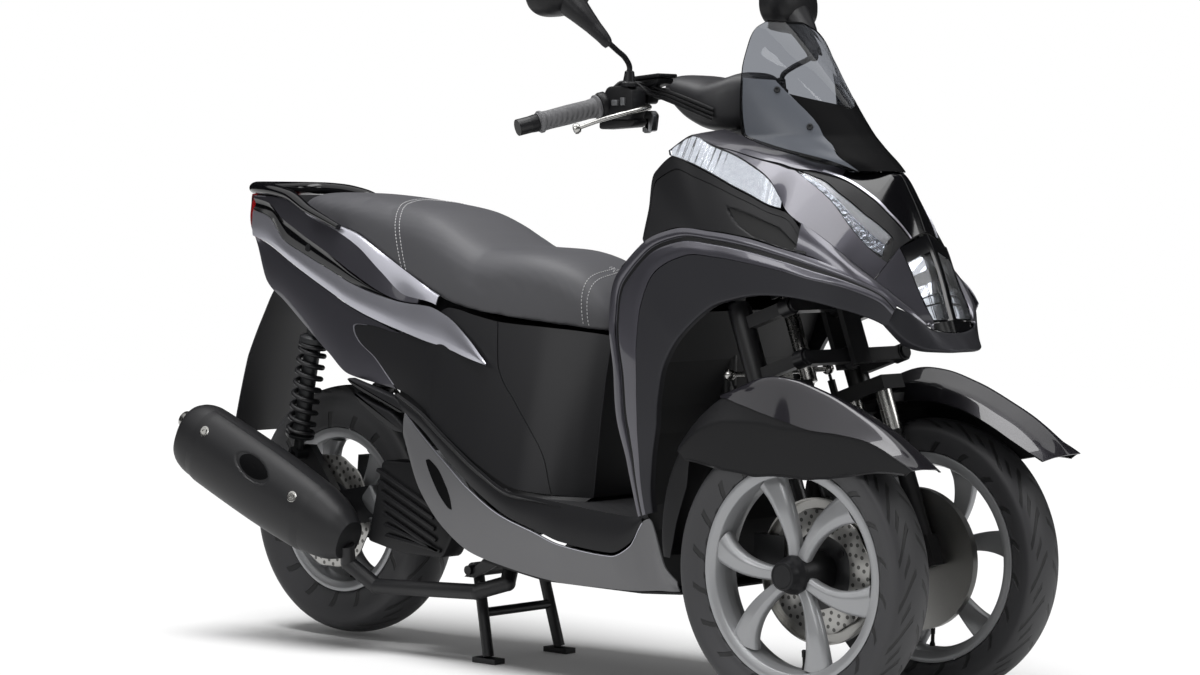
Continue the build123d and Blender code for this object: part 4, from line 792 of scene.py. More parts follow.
def holes(x, z, rows, count, size):
    """Drilled holes of a brake disc: 1 within size mm of a hole. Each row has count holes, at a radius and a turn of
    its own."""
    def made(t, where):
        turn, radius, _ = wheel_angle(t, where, x, z)
        out = None
        for r, shift in rows:
            f = add(t, "Math", [turn, float(count), shift + 0.5], operation="MULTIPLY_ADD")
            f = add(t, "Math", [add(t, "Math", [f], operation="FRACT"), 0.5], operation="SUBTRACT")
            u = add(t, "Math", [f, 2 * np.pi * r * 0.001 / count], operation="MULTIPLY")
            v = add(t, "Math", [radius, r * 0.001], operation="SUBTRACT")
            d = add(t, "Math", [v, v, add(t, "Math", [u, u], operation="MULTIPLY")], operation="MULTIPLY_ADD")
            d = add(t, "Math", [d, (size * 0.001) ** 2], operation="LESS_THAN")
            out = d if out is None else add(t, "Math", [d, out], operation="MAXIMUM")
        return out
    return made


def disc_form(x, z, y0, y1, r, r_in, n=144, wave=0.0, waves_n=12):
    """Annulus between two heights, its edge in shallow waves: radius r - wave x (1 + cos) / 2 of the turn."""
    a = circle(n)[:, None]
    edge = r - wave * 0.5 * (1 + np.cos(a * waves_n))
    rs = np.concatenate([np.full_like(edge, r_in), edge - 1, edge, edge, edge - 1, np.full_like(edge, r_in)], 1)
    ys = np.array([[y0, y0, y0 + 0.6, y1 - 0.6, y1, y1]])
    P = np.stack([x + rs * np.cos(a), np.broadcast_to(ys, rs.shape), z + rs * np.sin(a)], -1)
    return outward(sheet(np.concatenate([P, P[:1]]), ring=True))


def valve_forms(x, z, y, angle, r):
    """Rubber valve stem and its cap, on a radius."""
    a = np.radians(angle)
    d = (-np.cos(a), 0, -np.sin(a))
    o = (x + r * np.cos(a), y, z + r * np.sin(a))
    return [knob(o, d, [(5.2, -3), (5.2, 4), (3.6, 9), (3.4, 22), (4.2, 22.5), (4.2, 33), (2.6, 35)], 14)]


class SCOOTER_OT_front_wheels(bpy.types.Operator):
    """Cast front wheels with three pairs of curved spokes, their hubs, valves, tyres and drilled discs"""
    bl_idname = "scooter.front_wheels"
    bl_label = "Front wheels"

    def execute(self, context):
        x, z = FRONT_AXLE
        for s, tag, phase in ((-1, "r", 78.0), (1, "l", 40.0)):
            y, body = s * TRACK_HALF, "front_wheel_" + tag
            forms = [turned(eased(FRONT_RIM, 2.0, 3), x, z, y, n=168)]
            forms += [spoke_form(x, z, y, s, phase + 120 * i, k, 30.0, 171.0) for i in range(3) for k in (-1, 1)]
            piece("cast_wheel_" + tag, forms, "wheel", "wheel_silver", "front_rim_" + tag, body=body)
            boss = [(30, -53), (38, -50), (40, -30), (38, 4), (35, 12), (33.5, 26), (32, 30)]
            cap = [(33, 22), (34, 25), (32.5, 31), (27.5, 37), (25.8, 44), (25.2, 52), (24, 54.4), (21, 54.9),
                   (20.4, 54.0), (19.8, 54.0), (19.2, 54.8), (1, 55.0)]
            hub = [knob((x, y, z), (0, s, 0), outline, 48) for outline in (boss, cap)]
            # the near cap is dark grey, the far one a darker black: painted shade on the far wheel, both caps being one
            # part
            piece("hub_cap_" + tag, hub, "abs_grey" if s < 0 else "pp_black", body=body)
            piece("valve_" + tag, valve_forms(x, z, y + s * 4, -86 if s < 0 else -92, 165), "pp_black", body=body)
            # the tread cuts are pressed in as relief and painted a quarter as bright: painted shade in the grooves
            cuts = sipes(x, z, y, FRONT_TYRE[1], 40)
            rubber = finish("tyre rubber, moulded, front tread " + tag, "#333335", 0.0, 0.55, 5.0, relief=2.2,
                            tone=0.06, relief_from=inverse(cuts), painted_shade_from=cuts)
            piece("tyre_front_" + tag, [tyre_form(x, z, y, *FRONT_TYRE)], rubber, "tyre_rubber", "front_tyre_" + tag,
                  body=body, sharp=180)
            # the holes aren't cut: the disc is painted a quarter as bright within them, painted shade for the holes
            drilled = finish("stainless steel, ground and drilled, front", "#a9a8a5", 0.9, 0.3, 1.5, tone=0.08,
                             painted_shade_from=holes(x, z, FRONT_HOLES, HOLE_COUNT, 3.6))
            d0, d1 = sorted((s * (DISC_Y - 2), s * (DISC_Y + 2)))
            piece("brake_disc_" + tag, [disc_form(x, z, d0, d1, 110, 64, wave=3.0)], drilled, "steel",
                  "front_disc_" + tag, body=body)
            carrier = [disc_form(x, z, s * DISC_Y - 2.6, s * DISC_Y + 2.6, 69, 33, wave=4.0, waves_n=5)]
            a = np.radians(np.arange(5) * 72 + 36)
            carrier += [knob((x + 58 * np.cos(v), s * (DISC_Y - 2), z + 58 * np.sin(v)), (0, s, 0),
                             [(6.5, 0), (6.5, 7), (4, 7.4)], 6) for v in a]
            piece("disc_carrier_" + tag, carrier, "frame", body=body)
            for name, lo, hi, r, key, slot in (("fork_legs_", 484.0, 559.0, 15.6, "steel", "steel"),
                                               ("fork_seals_", 476.0, 485.0, 17.4, "pp_black", "matte_black")):
                legs = [tube(steer(np.array([lo, hi]), l, s * FORK_Y), r, 28) for l in FORK_LEGS]
                piece(name + tag, legs, key, slot, body="knuckle_" + tag)
        return {"FINISHED"}


class SCOOTER_OT_rear_wheel(bpy.types.Operator):
    """Cast rear wheel, its tyre and drilled disc"""
    bl_idname = "scooter.rear_wheel"
    bl_label = "Rear wheel"

    def execute(self, context):
        x, z = REAR_AXLE
        forms = [turned(eased(REAR_RIM, 2.0, 3), x, z, 0, n=168)]
        for i in range(3):
            forms += [spoke_form(x, z, 0, -1, 20 + 120 * i, k, 34.0, 147.0) for k in (-1, 1)]
        forms.append(knob((x, 0, z), (0, -1, 0), [(30, -55), (37, -50), (37, 30), (34, 46), (32.4, 57.4)], 40))
        piece("cast_wheel_rear", forms, "wheel", "wheel_silver", "rear_rim", body="rear_wheel")
        piece("valve_rear", valve_forms(x, z, -6, -90, 141), "pp_black", body="rear_wheel")
        # the tread cuts are pressed in as relief and painted a quarter as bright: painted shade in the grooves
        cuts = sipes(x, z, 0, REAR_TYRE[1], 34)
        rubber = finish("tyre rubber, moulded, rear tread", "#333335", 0.0, 0.55, 5.0, relief=2.5, tone=0.06,
                        relief_from=inverse(cuts), painted_shade_from=cuts)
        piece("tyre_rear", [tyre_form(x, z, 0, *REAR_TYRE)], rubber, "tyre_rubber", "rear_tyre", body="rear_wheel",
              sharp=180)
        # the holes aren't cut: the disc is painted a quarter as bright within them, painted shade for the holes
        drilled = finish("stainless steel, ground and drilled, rear", "#a9a8a5", 0.9, 0.3, 1.5, tone=0.08,
                         painted_shade_from=holes(x, z, REAR_HOLES, HOLE_COUNT, 3.8))
        piece("brake_disc_rear", [disc_form(x, z, -67, -63, 115, 60, wave=3.0)], drilled, "steel", "rear_disc",
              body="rear_wheel")
        piece("disc_carrier_rear", [disc_form(x, z, -67.6, -59, 66, 33, wave=4.0, waves_n=5)], "case",
              body="rear_wheel")
        return {"FINISHED"}


# ---- front fenders ----
# share from ridge to crease where the paint ends
PAINT_END = [(36, 0.98), (52, 0.98), (64, 0.98), (78, 0.96), (90, 0.86), (100, 0.79), (110, 0.54), (118, 0.1)]
FENDER_Y = TRACK_HALF + 55.0
GUARD_Y = TRACK_HALF + 40.5


class SCOOTER_OT_front_fenders(bpy.types.Operator):
    """Front fenders: a painted crown over a moulded black side, and the black guard behind it. Both are surfaces
    through stations about the axle; the paint's lower edge is a share of the way from ridge to crease"""
    bl_idname = "scooter.front_fenders"
    bl_label = "Front fenders"

    def execute(self, context):
        def section(t, end=None):
            ridge = axle(t[:, 0], t[:, 5], TRACK_HALF + t[:, 6])
            crease = axle(t[:, 0], t[:, 7], np.full(len(t), FENDER_Y))
            P = [axle(t[:, 0], t[:, 1], TRACK_HALF + t[:, 2]), axle(t[:, 0], t[:, 3], TRACK_HALF + t[:, 4]), ridge]
            if end is None:
                P += [crease, axle(t[:, 0], t[:, 8], np.full(len(t), FENDER_Y - 1.5)),
                      axle(t[:, 0], t[:, 8] + 1.0, np.full(len(t), FENDER_Y - 5.5))]
            else:
                P.append(ridge * (1 - end) + crease * end)
            return np.stack(P, 1)
        at = np.linspace(36, 118, 96)
        end = through(PAINT_END, 0, at=at)[:, 1:]
        paint = rounded(section(through(FENDER, 0, at=at), end), (0, 9, 13, 0), 8, 7)
        t = through(FENDER, 0, at=np.linspace(36.3, 140, 110))
        black = rounded(section(t), (0, 9, 13, 5, 2, 0), 7, 6)
        t = through(REAR_GUARD, 40)
        y0, y1 = TRACK_HALF + t[:, 2], TRACK_HALF + t[:, 4]
        P = np.stack([axle(t[:, 0], t[:, 1], y0), axle(t[:, 0], t[:, 3], (y0 + y1) / 2), axle(t[:, 0], t[:, 3], y1),
                      axle(t[:, 0], t[:, 5], np.full(len(t), GUARD_Y))], 1)
        guard = rounded(P, (0, 8, 9, 0), 7, 6)
        inside = (FRONT_AXLE[0], TRACK_HALF, FRONT_AXLE[1])
        shells = panel(paint, 1.6, inside=inside), panel(black, 1.8, 1.7, inside), panel(guard, 2.4, 0, inside)
        for side, flip in (("l", lambda form: form), ("r", mirrored)):
            body, node = "knuckle_" + side, "front_fender_" + side
            piece("fender_crown_" + side, [flip(shells[0])], "midnight", "fender_paint", node, body=body, sharp=35)
            piece("fender_side_" + side, [flip(shells[1])], "pp_black", "matte_black", node, body=body, sharp=35)
            piece("fender_guard_" + side, [flip(shells[2])], "pp_black", "matte_black", node, body=body, sharp=35)
        return {"FINISHED"}


# ---- wheel arches and chin ----
# angle: radius of the ridge where the finished moulding runs smoother than its stations
ARCH_RIDGE = {105: 381, 113: 411, 121: 446, 130: 461, 138: 439, 146: 404}
# mm down from the arch's outer edge: crest, groove's two sides, second crest
ARCH_STEPS = (8.0, 15.0, 17.0, 25.0, 27.0)


class SCOOTER_OT_arches(bpy.types.Operator):
    """Wheel arch fairings and chin: stations about the arch centre. The inner face bends at the ridge into a painted
    band with a groove a few mm down from its outer edge"""
    bl_idname = "scooter.arches"
    bl_label = "Wheel arches"

    def execute(self, context):
        table = [(61, 291, 121, 320, 122, 333, 120)] + [
            (a, r0, y0, ARCH_RIDGE.get(a, r1), y1, r2, y2) for a, r0, y0, r1, y1, r2, y2 in ARCH]
        t = through(table, 170)
        a, r0, y0, r1, y1, r2, y2 = t.T
        d = np.stack([r2 - r1, y2 - y1], -1)
        width = np.linalg.norm(d, axis=1)
        n = np.stack([-d[:, 1], d[:, 0]], -1) / width[:, None]
        size = np.clip(width / 42, 0.3, 1)
        deep = 5.0 * size * np.clip((201 - a) / 40, 0.35, 1) * np.clip((a - 61) / 14, 0, 1)
        share = [1 - step * size / width for step in ARCH_STEPS]

        def on_band(s, lift):
            q = np.stack([r1, y1], -1) + d * np.reshape(s, (-1, 1)) + n * lift[:, None]
            return arch(a, q[:, 0], q[:, 1])
        flat = np.zeros_like(a)
        ridge, inner = arch(a, r1, y1), arch(a, r0, y0)
        near = ridge * 0.9 + inner * 0.1
        face = rounded(np.stack([arch(a, r0, y0 - 14), inner, near * 0.985 + inner * 0.015], 1), (0, 5, 0), 9, 6)
        band = np.stack([near, ridge, on_band(share[4], flat), on_band(share[3], -deep), on_band(share[2], -deep),
                         on_band(share[1], flat), on_band(share[0], deep * 0.3), arch(a, r2, y2)], 1)
        band = rounded(band, (0, 5, 2.2, 1.5, 1.5, 2.2, 6, 0), 4, 5)
        twins("arch_faces", [panel(face, 2.2)], "graphite", "gunmetal_paint", "arch_fairings", sharp=50)
        twins("arch_bands", [panel(band, 2.2)], "gunmetal", "gunmetal_paint", "arch_fairings", sharp=50)
        groove = np.stack([on_band(share[3] + 0.01, 0.45 - deep), on_band(share[2] - 0.01, 0.45 - deep)], 1)
        twins("arch_grooves", [panel(groove, 0.6)], "pp_black", "matte_black")
        rows = through([(-y, *r) for y, *r in CHIN[:0:-1]] + CHIN, 90)
        y, x0, z0, x1, z1, x2, z2 = rows.T
        P = np.stack([across(x0 - 8, z0, y), across(x1, z1, y), across(x2, z2, y), across(x2 - 6, z2, y)], 1)
        back = (P[:, :1] + P[:, -1:]) / 2
        ring = rounded(np.concatenate([back, P, back], 1), (0, 2, 4, 5, 1, 0), 4, 5)
        piece("chin", [closed(ring[:, :-1])], "graphite", "gunmetal_paint", "arch_fairings", sharp=50)
        return {"FINISHED"}


# ---- nose ----
# lines on the cowl: angle, share across it from the lower edge
SEAT_LINE = [(113, 1.50), (109.2, 1.39), (99.6, 1.22), (93.8, 1.36), (89.6, 1.52)]
RIDGE = [(92.6, 1.16), (89.2, 1.17), (84.7, 1.22), (79.0, 1.33), (75, 1.5), (72.2, 1.66)]
# the finished nose's lower line, from the lamp back along shoulder, and the line of chin and arch below it
NOSE_FOOT = [(842, 56, 684), (837, 64, 677.3), (814.5, 82, 704.9), (788.7, 98, 731.5), (761, 112.6, 755),
             (727.3, 130, 783.9), (704, 141, 804.2), (664.4, 153, 833.7), (638, 163, 852)]
CHIN_LINE = [(846, 60, 671), (843, 62, 673), (824, 95, 698), (797, 121, 722), (770, 134, 746), (741.4, 148, 761),
             (711, 158, 775), (668, 169, 793), (640, 180, 801)]
STRIP_TOP = [(96.4, 0.90), (94.6, 0.93), (92.1, 0.92), (87.4, 0.80), (82.5, 0.82), (78.5, 0.90), (74.8, 0.98)]
STRIP_FOOT = [(96.2, 0.86), (94.6, 0.83), (91.2, 0.72), (86.8, 0.58), (82.5, 0.48), (77.7, 0.44), (73.9, 0.52)]
DUCT = [(501, 880), (537, 869), (600, 845), (639, 814), (634, 803), (594, 815), (556, 827), (526, 845), (510, 864)]


def cowl_rows(t):
    """Cowl sections: lower edge, shoulder and a crown 48 mm wide, the other side mirrored."""
    a, r0, y0, r1, y1, r2 = t.T
    z = np.zeros_like(a)
    half = [arch(a, r0, y0), arch(a, r1, y1), arch(a, r2 - 6, z + 24)]
    return np.stack(half + [arch(a, r2, z)] + [p * (1, -1, 1) for p in half[::-1]], 1)


def lamp_rows(t):
    a, r0, y0, r1 = t.T
    z = np.zeros_like(a)
    return np.stack([arch(a, r0, y0), arch(a, r1 - 5, z + 16), arch(a, r1, z), arch(a, r1 - 5, z - 16),
                     arch(a, r0, -y0)], 1)


class SCOOTER_OT_nose(bpy.types.Operator):
    """Nose: a black under-skin through stations about the arch centre, and on it the painted shoulders, upper bands,
    glossy middle panel, lamps and matte side panels, each the part of the same surface between two lines"""
    bl_idname = "scooter.nose"
    bl_label = "Nose and lamps"

    def execute(self, context):
        cowl = surface(COWL, arch, cowl_rows, 0.3)
        nose = surface(NOSE, arch)
        lamp = surface(LAMP, arch, lamp_rows, 0.3)
        turn, matte = surface(TURN, arch), surface(MATTE, arch)
        under = [panel(over(cowl, 72, 113, 60, 0, 6, 60), 1.2, 3.2)]
        under += pair(panel(over(matte, 89, 129, 40, 0, 1, 10), 1.2, 3.2))
        piece("nose_under_skin", under, "recess", "matte_black", "front_cowl")
        foot = [(107.6, 0.0), (100, 0.0), (90, 0.0), (80, 0.0), (72, 0.0)]
        top = [(108.0, 0.02), (102.9, 0.36), (97.7, 0.72), (96.3, 0.84), (94.6, 0.81), (91.2, 0.70), (86.8, 0.56),
               (82.5, 0.46), (77.7, 0.42), (74.0, 0.45), (72, 0.5)]
        shoulders = between(cowl, foot, top, 110, 26)
        brow_foot = [(97.0, 0.86), (94.6, 0.95), (92.1, 0.95), (87.4, 0.83), (82.5, 0.85), (78.5, 0.93), (74.4, 1.02),
                     (73, 0.8), (72, 0.55)]
        brow_top = [(94.6, 1.0), (91.5, 1.06), (89.2, 1.10), (84.7, 1.16), (79.0, 1.27), (76, 1.38), (74.2, 1.47),
                    (73, 1.54), (72, 1.6)]
        band_foot = [(113, 0.0), (109.4, 0.02), (107.2, 0.17), (102.9, 0.45), (97.7, 0.82), (93.6, 1.09), (89.2, 1.15)]
        noses = over(nose, 54, 71.9, 40, 0, 1, 12)
        upper, lower = smooth_path(NOSE_FOOT, 110)[:, None], smooth_path(CHIN_LINE, 110)[:, None]
        v = np.linspace(0, 1, 14)[None, :, None]
        sill = upper * (1 - v) + lower * v
        sill = sill + normals(sill) * 4.0 * np.sin(np.pi * v)
        twins("nose_shoulders", [panel(shoulders), panel(noses), panel(sill, deep=0.5)], "gunmetal", "gunmetal_paint",
              "front_cowl")
        twins("nose_brows", [panel(between(cowl, brow_foot, brow_top, 90, 10), deep=0.8)], "pp_black", "gloss_black",
              "front_cowl")
        # bright silver line along each ridge: painted highlight where the crease catches the light
        line = np.array(RIDGE)
        twins("nose_ridge_highlights", [panel(between(cowl, line - (0, 0.03), line + (0, 0.03), 90, 5), 1.5, -1.0)], "bright",
              "silver_paint")
        y = np.linspace(-60, 60, 40)
        tip = np.stack([across(np.interp(y ** 2, (0, 900, 3600), (851.5, 849, 842.5)),
                               np.interp(np.abs(y), (0, 30, 60), (665, 667, 673)), y),
                        across(np.interp(np.abs(y), (0, 16, 56), (844.6, 842, 841)),
                               np.interp(np.abs(y), (0, 16, 60), (688, 686, 680)), y)])
        piece("nose_tip", [panel(tip, 3.0, 0.5)], "abs_gloss", "gloss_black", "front_cowl")
        twins("nose_bands", [panel(between(cowl, band_foot, SEAT_LINE, 90, 18))], "gunmetal", "gunmetal_paint",
              "front_cowl")
        # glossy middle: from one ridge line over the middle plane to the other
        far = [(a, 6 - s) for a, s in RIDGE]
        piece("nose_middle", [panel(between(cowl, RIDGE, far, 90, 60), deep=0.618)], "abs_gloss", "gloss_black",
              "front_cowl")
        twins("light_strips", [panel(between(cowl, STRIP_TOP, STRIP_FOOT, 70, 12), 1.0)], "lens", "lens_clear")
        top_line, foot_line = np.array(STRIP_TOP), np.array(STRIP_FOOT)
        below = np.interp(-top_line[:, 0], -foot_line[:, 0], foot_line[:, 1])
        middle = np.column_stack([top_line[:, 0], (top_line[:, 1] + below) / 2])
        twins("strip_mirrors", [panel(between(cowl, STRIP_TOP, middle, 70, 8), 0.8, 1.7)], "silver", "lens_clear")
        twins("strip_pebbles", [panel(between(cowl, middle, STRIP_FOOT, 70, 8), 0.8, 1.7)], "textured", "lens_clear")
        # headlamp: two lenses either side of a dark bar, mirrored bowls behind them
        lens = over(lamp, 54.6, 68.6, 50, 0.03, 1.34, 26)
        twins("headlamp_lenses", [panel(lens, 1.6, 0.0)], "lens", "lens_clear", "headlamp")
        twins("headlamp_bowls", [panel(lens, 1.5, 12.0)], "reflector", "lens_clear", "headlamp")
        bar = over(lamp, 54, 71.8, 40, 1.36, 2.64, 16)
        rim = [over(lamp, 54, 71.8, 40, 0.0, 0.028, 3), over(lamp, 54, 54.5, 3, 0.0, 1.4, 20),
               over(lamp, 68.7, 71.8, 8, 0.0, 1.4, 20)]
        piece("headlamp_bar", [panel(bar, 14.0, -0.6)] + both(panel(r, 14.0, -0.3) for r in rim), "abs_gloss",
              "gloss_black", "headlamp")
        shades = [over(lamp, lo, hi, 8, 0.15, 1.3, 16) for lo, hi in ((63.4, 66.0), (60.6, 60.9), (58.6, 58.9))]
        shades.append(over(lamp, 55.5, 66, 20, 0.66, 0.69, 3))
        twins("headlamp_shades", (panel(r, 1.0, 9.5) for r in shades), "abs_gloss", "gloss_black", "headlamp")
        # turn lamps
        lens = over(turn, 96.4, 116.2, 60, 0.03, 0.97, 14)
        twins("turn_lenses", [panel(lens, 1.4, -2.2)], "lens", "lens_clear", "turn_lamps")
        twins("turn_bowls", [panel(lens, 3.0, -0.5)], "reflector", "lens_clear", "turn_lamps")
        rims = [over(turn, 96, 116.5, 60, 0, 0.03, 3), over(turn, 96, 116.5, 60, 0.97, 1, 3),
                over(turn, 116.2, 116.5, 3, 0, 1, 8)]
        twins("turn_rims", (panel(r, 8.5, -2.4) for r in rims), "pp_black", "gloss_black", "turn_lamps")
        # matte side panels: a ledge over a sunk face with a duct
        edge = through([(89, 0.5), (95, 0.84), (105, 0.84), (114, 0.82), (118, 0.84), (124, 0.9), (129, 0.6)], 90)
        s = np.linspace(0, 1, 34)[None] * (edge[:, 1:] - 0.02)
        face = cut(matte(edge[:, :1], s), DUCT, 10.0, 5.0)
        ledge = matte(edge[:, :1], edge[:, 1:] + np.linspace(0, 1, 6)[None] * (1 - edge[:, 1:]))
        twins("side_panel_faces", [panel(face, 3.6, 0.0)], "abs_grey", "matte_grey", "side_panels")
        duct_top = [(107.2, 0.50), (104.1, 0.52), (100, 0.52), (96.6, 0.50), (92.8, 0.27)]
        duct_foot = [(106.9, 0.38), (105.6, 0.20), (102.8, 0.09), (98.0, 0.06), (93.2, 0.07)]
        twins("side_ducts", [panel(between(matte, duct_top, duct_foot, 30, 14), 1.0, 8.0)], "recess", "matte_black")
        twins("side_panel_ledges", [panel(ledge, 3.0)], "abs_grey", "matte_grey", "side_panels")
        return {"FINISHED"}


# ---- windscreen ----
SCREEN_LOW, SCREEN_HIGH = 940, 1209


def screen_rows(t):
    """Screen sections: edge, two points that round the side, the middle, the other side mirrored."""
    z, xc, xe, ye = t.T
    half = [across(xe, z, ye), across(xc - (xc - xe) * 0.68, z, ye * 0.82), across(xc - (xc - xe) * 0.30, z, ye * 0.52)]
    return np.stack(half + [across(xc, z, z * 0)] + [p * (1, -1, 1) for p in half[::-1]], 1)


class SCOOTER_OT_windscreen(bpy.types.Operator):
    """Windscreen: a smoked sheet through level sections, black over its lower middle, with side brackets and screws"""
    bl_idname = "scooter.windscreen"
    bl_label = "Windscreen"

    def execute(self, context):
        screen = surface(SCREEN, across, screen_rows, 0.42)
        inside = (300, 0, 1000)
        sheet_grid = over(screen, SCREEN_LOW, SCREEN_HIGH, 90, 0, 6, 90)
        piece("windscreen_sheet", [panel(sheet_grid, 3.0, 0, inside)], "smoke", "screen_smoke", "windscreen")
        rim = [over(screen, SCREEN_LOW, SCREEN_HIGH, 90, 0, 0.045, 3),
               over(screen, SCREEN_LOW, SCREEN_HIGH, 90, 5.955, 6, 3),
               over(screen, SCREEN_HIGH - 2.5, SCREEN_HIGH, 3, 0, 6, 60)]
        piece("windscreen_edge", [panel(r, 3.6, -0.3, inside) for r in rim], "print", "gloss_black")
        left = [(940, 0.8), (961, 1.28), (988, 1.91), (1018, 1.99), (1045, 1.87), (1062, 1.74), (1076, 1.62)]
        base = [(940, 0.8), (961, 1.28), (988, 1.91), (1018, 1.99), (1036, 2.1), (1046, 2.4), (1052, 2.99)]
        dark = panel(between(screen, left, base, 60, 24), 1.0, -0.5, inside)
        z = np.linspace(941, 1051, 60)[:, None]
        lo = through(left, 0, at=z[:, 0])[:, 1:]
        body = screen(z, lo + (6 - 2 * lo) * np.linspace(0, 1, 60)[None])
        piece("windscreen_dark", [panel(body, 1.0, -0.5, inside)] + pair(dark), "print", "gloss_black")
        arm = between(screen, [(1104, 0.10), (1060, 0.10), (1006, 0.12), (986, 0.3), (956, 0.6), (942, 0.75)],
                      [(1100, 1.35), (1076, 1.60), (1045, 1.86), (1018, 1.97), (988, 1.89), (961, 1.25), (942, 0.82)],
                      70, 30)
        heads = [(1083, 1.32), (1018, 1.77)]
        studs = [stud(screen(np.array([z - 1, z, z + 1.])[:, None], np.array([s - .01, s, s + .01])[None]), 6.0, 2.4,
                      inside) for z, s in heads]
        twins("windscreen_brackets", [panel(arm, 1.0, -0.4, inside)], "fog_grey", "matte_grey")
        twins("windscreen_screws", studs, "case", "gloss_black")
        return {"FINISHED"}


# ---- sides, skirts, floor ----
# the side cover's rear edge and the seam ahead of it: x, share down the side from its top
COVER_EDGE = [(-344, 0.0), (-454, 0.27), (-487, 0.52), (-482, 0.68), (-416, 1.19), (-352, 1.99)]
COVER_SEAM = [(-100, 0.0), (-79, 0.62), (-28, 0.98), (17, 1.27), (49, 1.56), (72, 1.99)]
# x, share down the tail's upper half where its upper panel ends
TAIL_EDGE = [(-842, 0.20), (-800, 0.32), (-746, 0.54), (-654, 0.57), (-536, 0.69), (-448, 0.78), (-348, 0.95),
             (-300, 0.97)]


def bulged(grow):
    """Sections between a table's top and foot, their middle grow mm proud."""
    def spread(t):
        x, z0, y0, z1, y1 = t.T
        return np.stack([across(x, z0, y0), across(x, (z0 + z1) / 2, (y0 + y1) / 2 + grow), across(x, z1, y1)], 1)
    return spread


class SCOOTER_OT_sides(bpy.types.Operator):
    """Body sides: an under-skin through sections along the length, and on it the painted rear panel, the black side
    cover and the front body panel, each between two lines of the same surface; skirts, step trims, floor mat, fins"""
    bl_idname = "scooter.sides"
    bl_label = "Sides and floor"

    def execute(self, context):
        side, skirt = surface(SIDE, None, bulged(5.0), 0.9), surface(SKIRT, None, bulged(4.0), 0.9)
        trim = surface(TRIM, across)
        gap = context.scene.scooter_sizes.seam_gap * 1000
        twins("side_under_skin", [panel(over(side, -829, 129.7, 120, 0, 2, 14), 1.2, 3.0)], "recess", "matte_black",
              "side_covers")
        rear_edge = [(-830, 0.0), (-830, 1.0), (-830, 2.0)]
        edge = smooth_path(COVER_EDGE, 60)
        rear = between(side, rear_edge, edge - (gap * 2 / 3, 0), 60, 60)
        cover = between(side, edge + (gap * 7 / 9, 0), COVER_SEAM, 60, 60)
        front_edge = [(129.7, 0.0), (129.7, 1.0), (129.7, 2.0)]
        front = between(side, np.array(COVER_SEAM) + (gap * 10 / 9, 0), front_edge, 60, 26)
        twins("side_rear_panels", [panel(rear)], "gunmetal", "gunmetal_paint", "side_covers")
        twins("side_cover_panels", [panel(cover, deep=0.4)], "abs_grey", "matte_black", "side_covers")
        twins("side_front_panels", [panel(front, deep=0.8)], "abs_grey", "matte_black", "side_covers")
        # pale line along the cover's rear edge
        line = side(edge[22:58, :1] + np.array([[0.2, 3.2]]), edge[22:58, 1:] * np.ones((1, 2)))
        twins("side_cover_lines", [panel(line, 1.0, -0.5)], "bright", "silver_paint")
        z = np.linspace(340, 625, 20)[:, None]
        w = np.interp(z, (340, 400, 480, 560, 625), (131, 123, 112, 99, 84)) * np.linspace(-1, 1, 24)[None]
        piece("body_front_wall", [panel(across(np.full_like(w, 131.8), z + 0 * w, w), 3.6, inside=(0, 0, 500))],
              "abs_grey", "matte_black", "side_covers")
        # skirts with their vent
        grid = over(skirt, -313, 396, 170, 0, 2, 30)
        twins("lower_skirt_panels", [panel(grid)], "silver", "silver_paint", "lower_skirts")
        hole = between(skirt, [(-238, 0.62), (-228, 0.46), (-206, 0.42), (-180, 0.62), (-162, 0.98), (-160, 1.12)],
                       [(-238, 0.66), (-230, 0.80), (-214, 0.98), (-190, 1.16), (-170, 1.22), (-160, 1.16)], 24, 10)
        twins("skirt_vents", [panel(hole, 0.8, -0.5)], "print", "matte_black")
        t = over(trim, -345, 326, 170, 0, 1, 12)
        w = np.sin(np.linspace(0, np.pi, 12))[None, :, None]
        twins("step_trim_panels", [panel(t + normals(t) * w * 3.0 - normals(t) * 1.0, 2.6)], "abs_grey", "matte_black",
              "step_trim")
        # pale line along the skirt's top edge under the trim: painted highlight where that edge catches the light
        twins("step_trim_highlight_lines", [panel(over(skirt, -308, 326, 170, 0.0, 0.035, 2), 1.0, -0.9)], "bright",
              "silver_paint")
        # inner walls between step trim and body side, so that nothing shows through
        x = np.linspace(-344, 128, 90)[:, None]
        w = np.linspace(0, 1, 10)[None, :, None]
        walls = trim(x, 0 * x + 0.03) * (1 - w) + side(x, 0 * x + 1.97) * w
        walls = walls - across(0, 9.0 * np.sin(np.pi * w[..., 0]), 0)
        twins("step_walls", [panel(walls, 2.0, 4.0)], "pp_black", "matte_black")
        # floor mat, its edge turned down into the trim
        mat = np.array(FLOOR, float)[::-1]
        path = smooth_path(np.column_stack([mat[:, 0], mat[:, 0] * 0, mat[:, 1]]), 60)
        y = np.linspace(-211, 211, 60)
        P = across(path[:, :1], path[:, 2:] - 1.5 * (np.abs(y) > 205)[None], y[None])
        piece("floor_mat", [panel(P, 4.6, 0.0, (150, 0, 0))], "floor", "matte_black", "floor_board")
        fins = [([(-476, 537), (-410, 521), (-338, 502), (-314, 476), (-330, 474), (-372, 490), (-430, 509),
                  (-470, 526)], 158, 181), ([(-456, 510), (-410, 493), (-350, 474), (-318, 452), (-316, 436),
                                             (-345, 440), (-390, 460), (-440, 490)], 158, 183)]
        twins("side_fins", (block(o, lo, hi, 8.0, 4.0) for o, lo, hi in fins), "abs_grey", "matte_black", sharp=30)
        return {"FINISHED"}


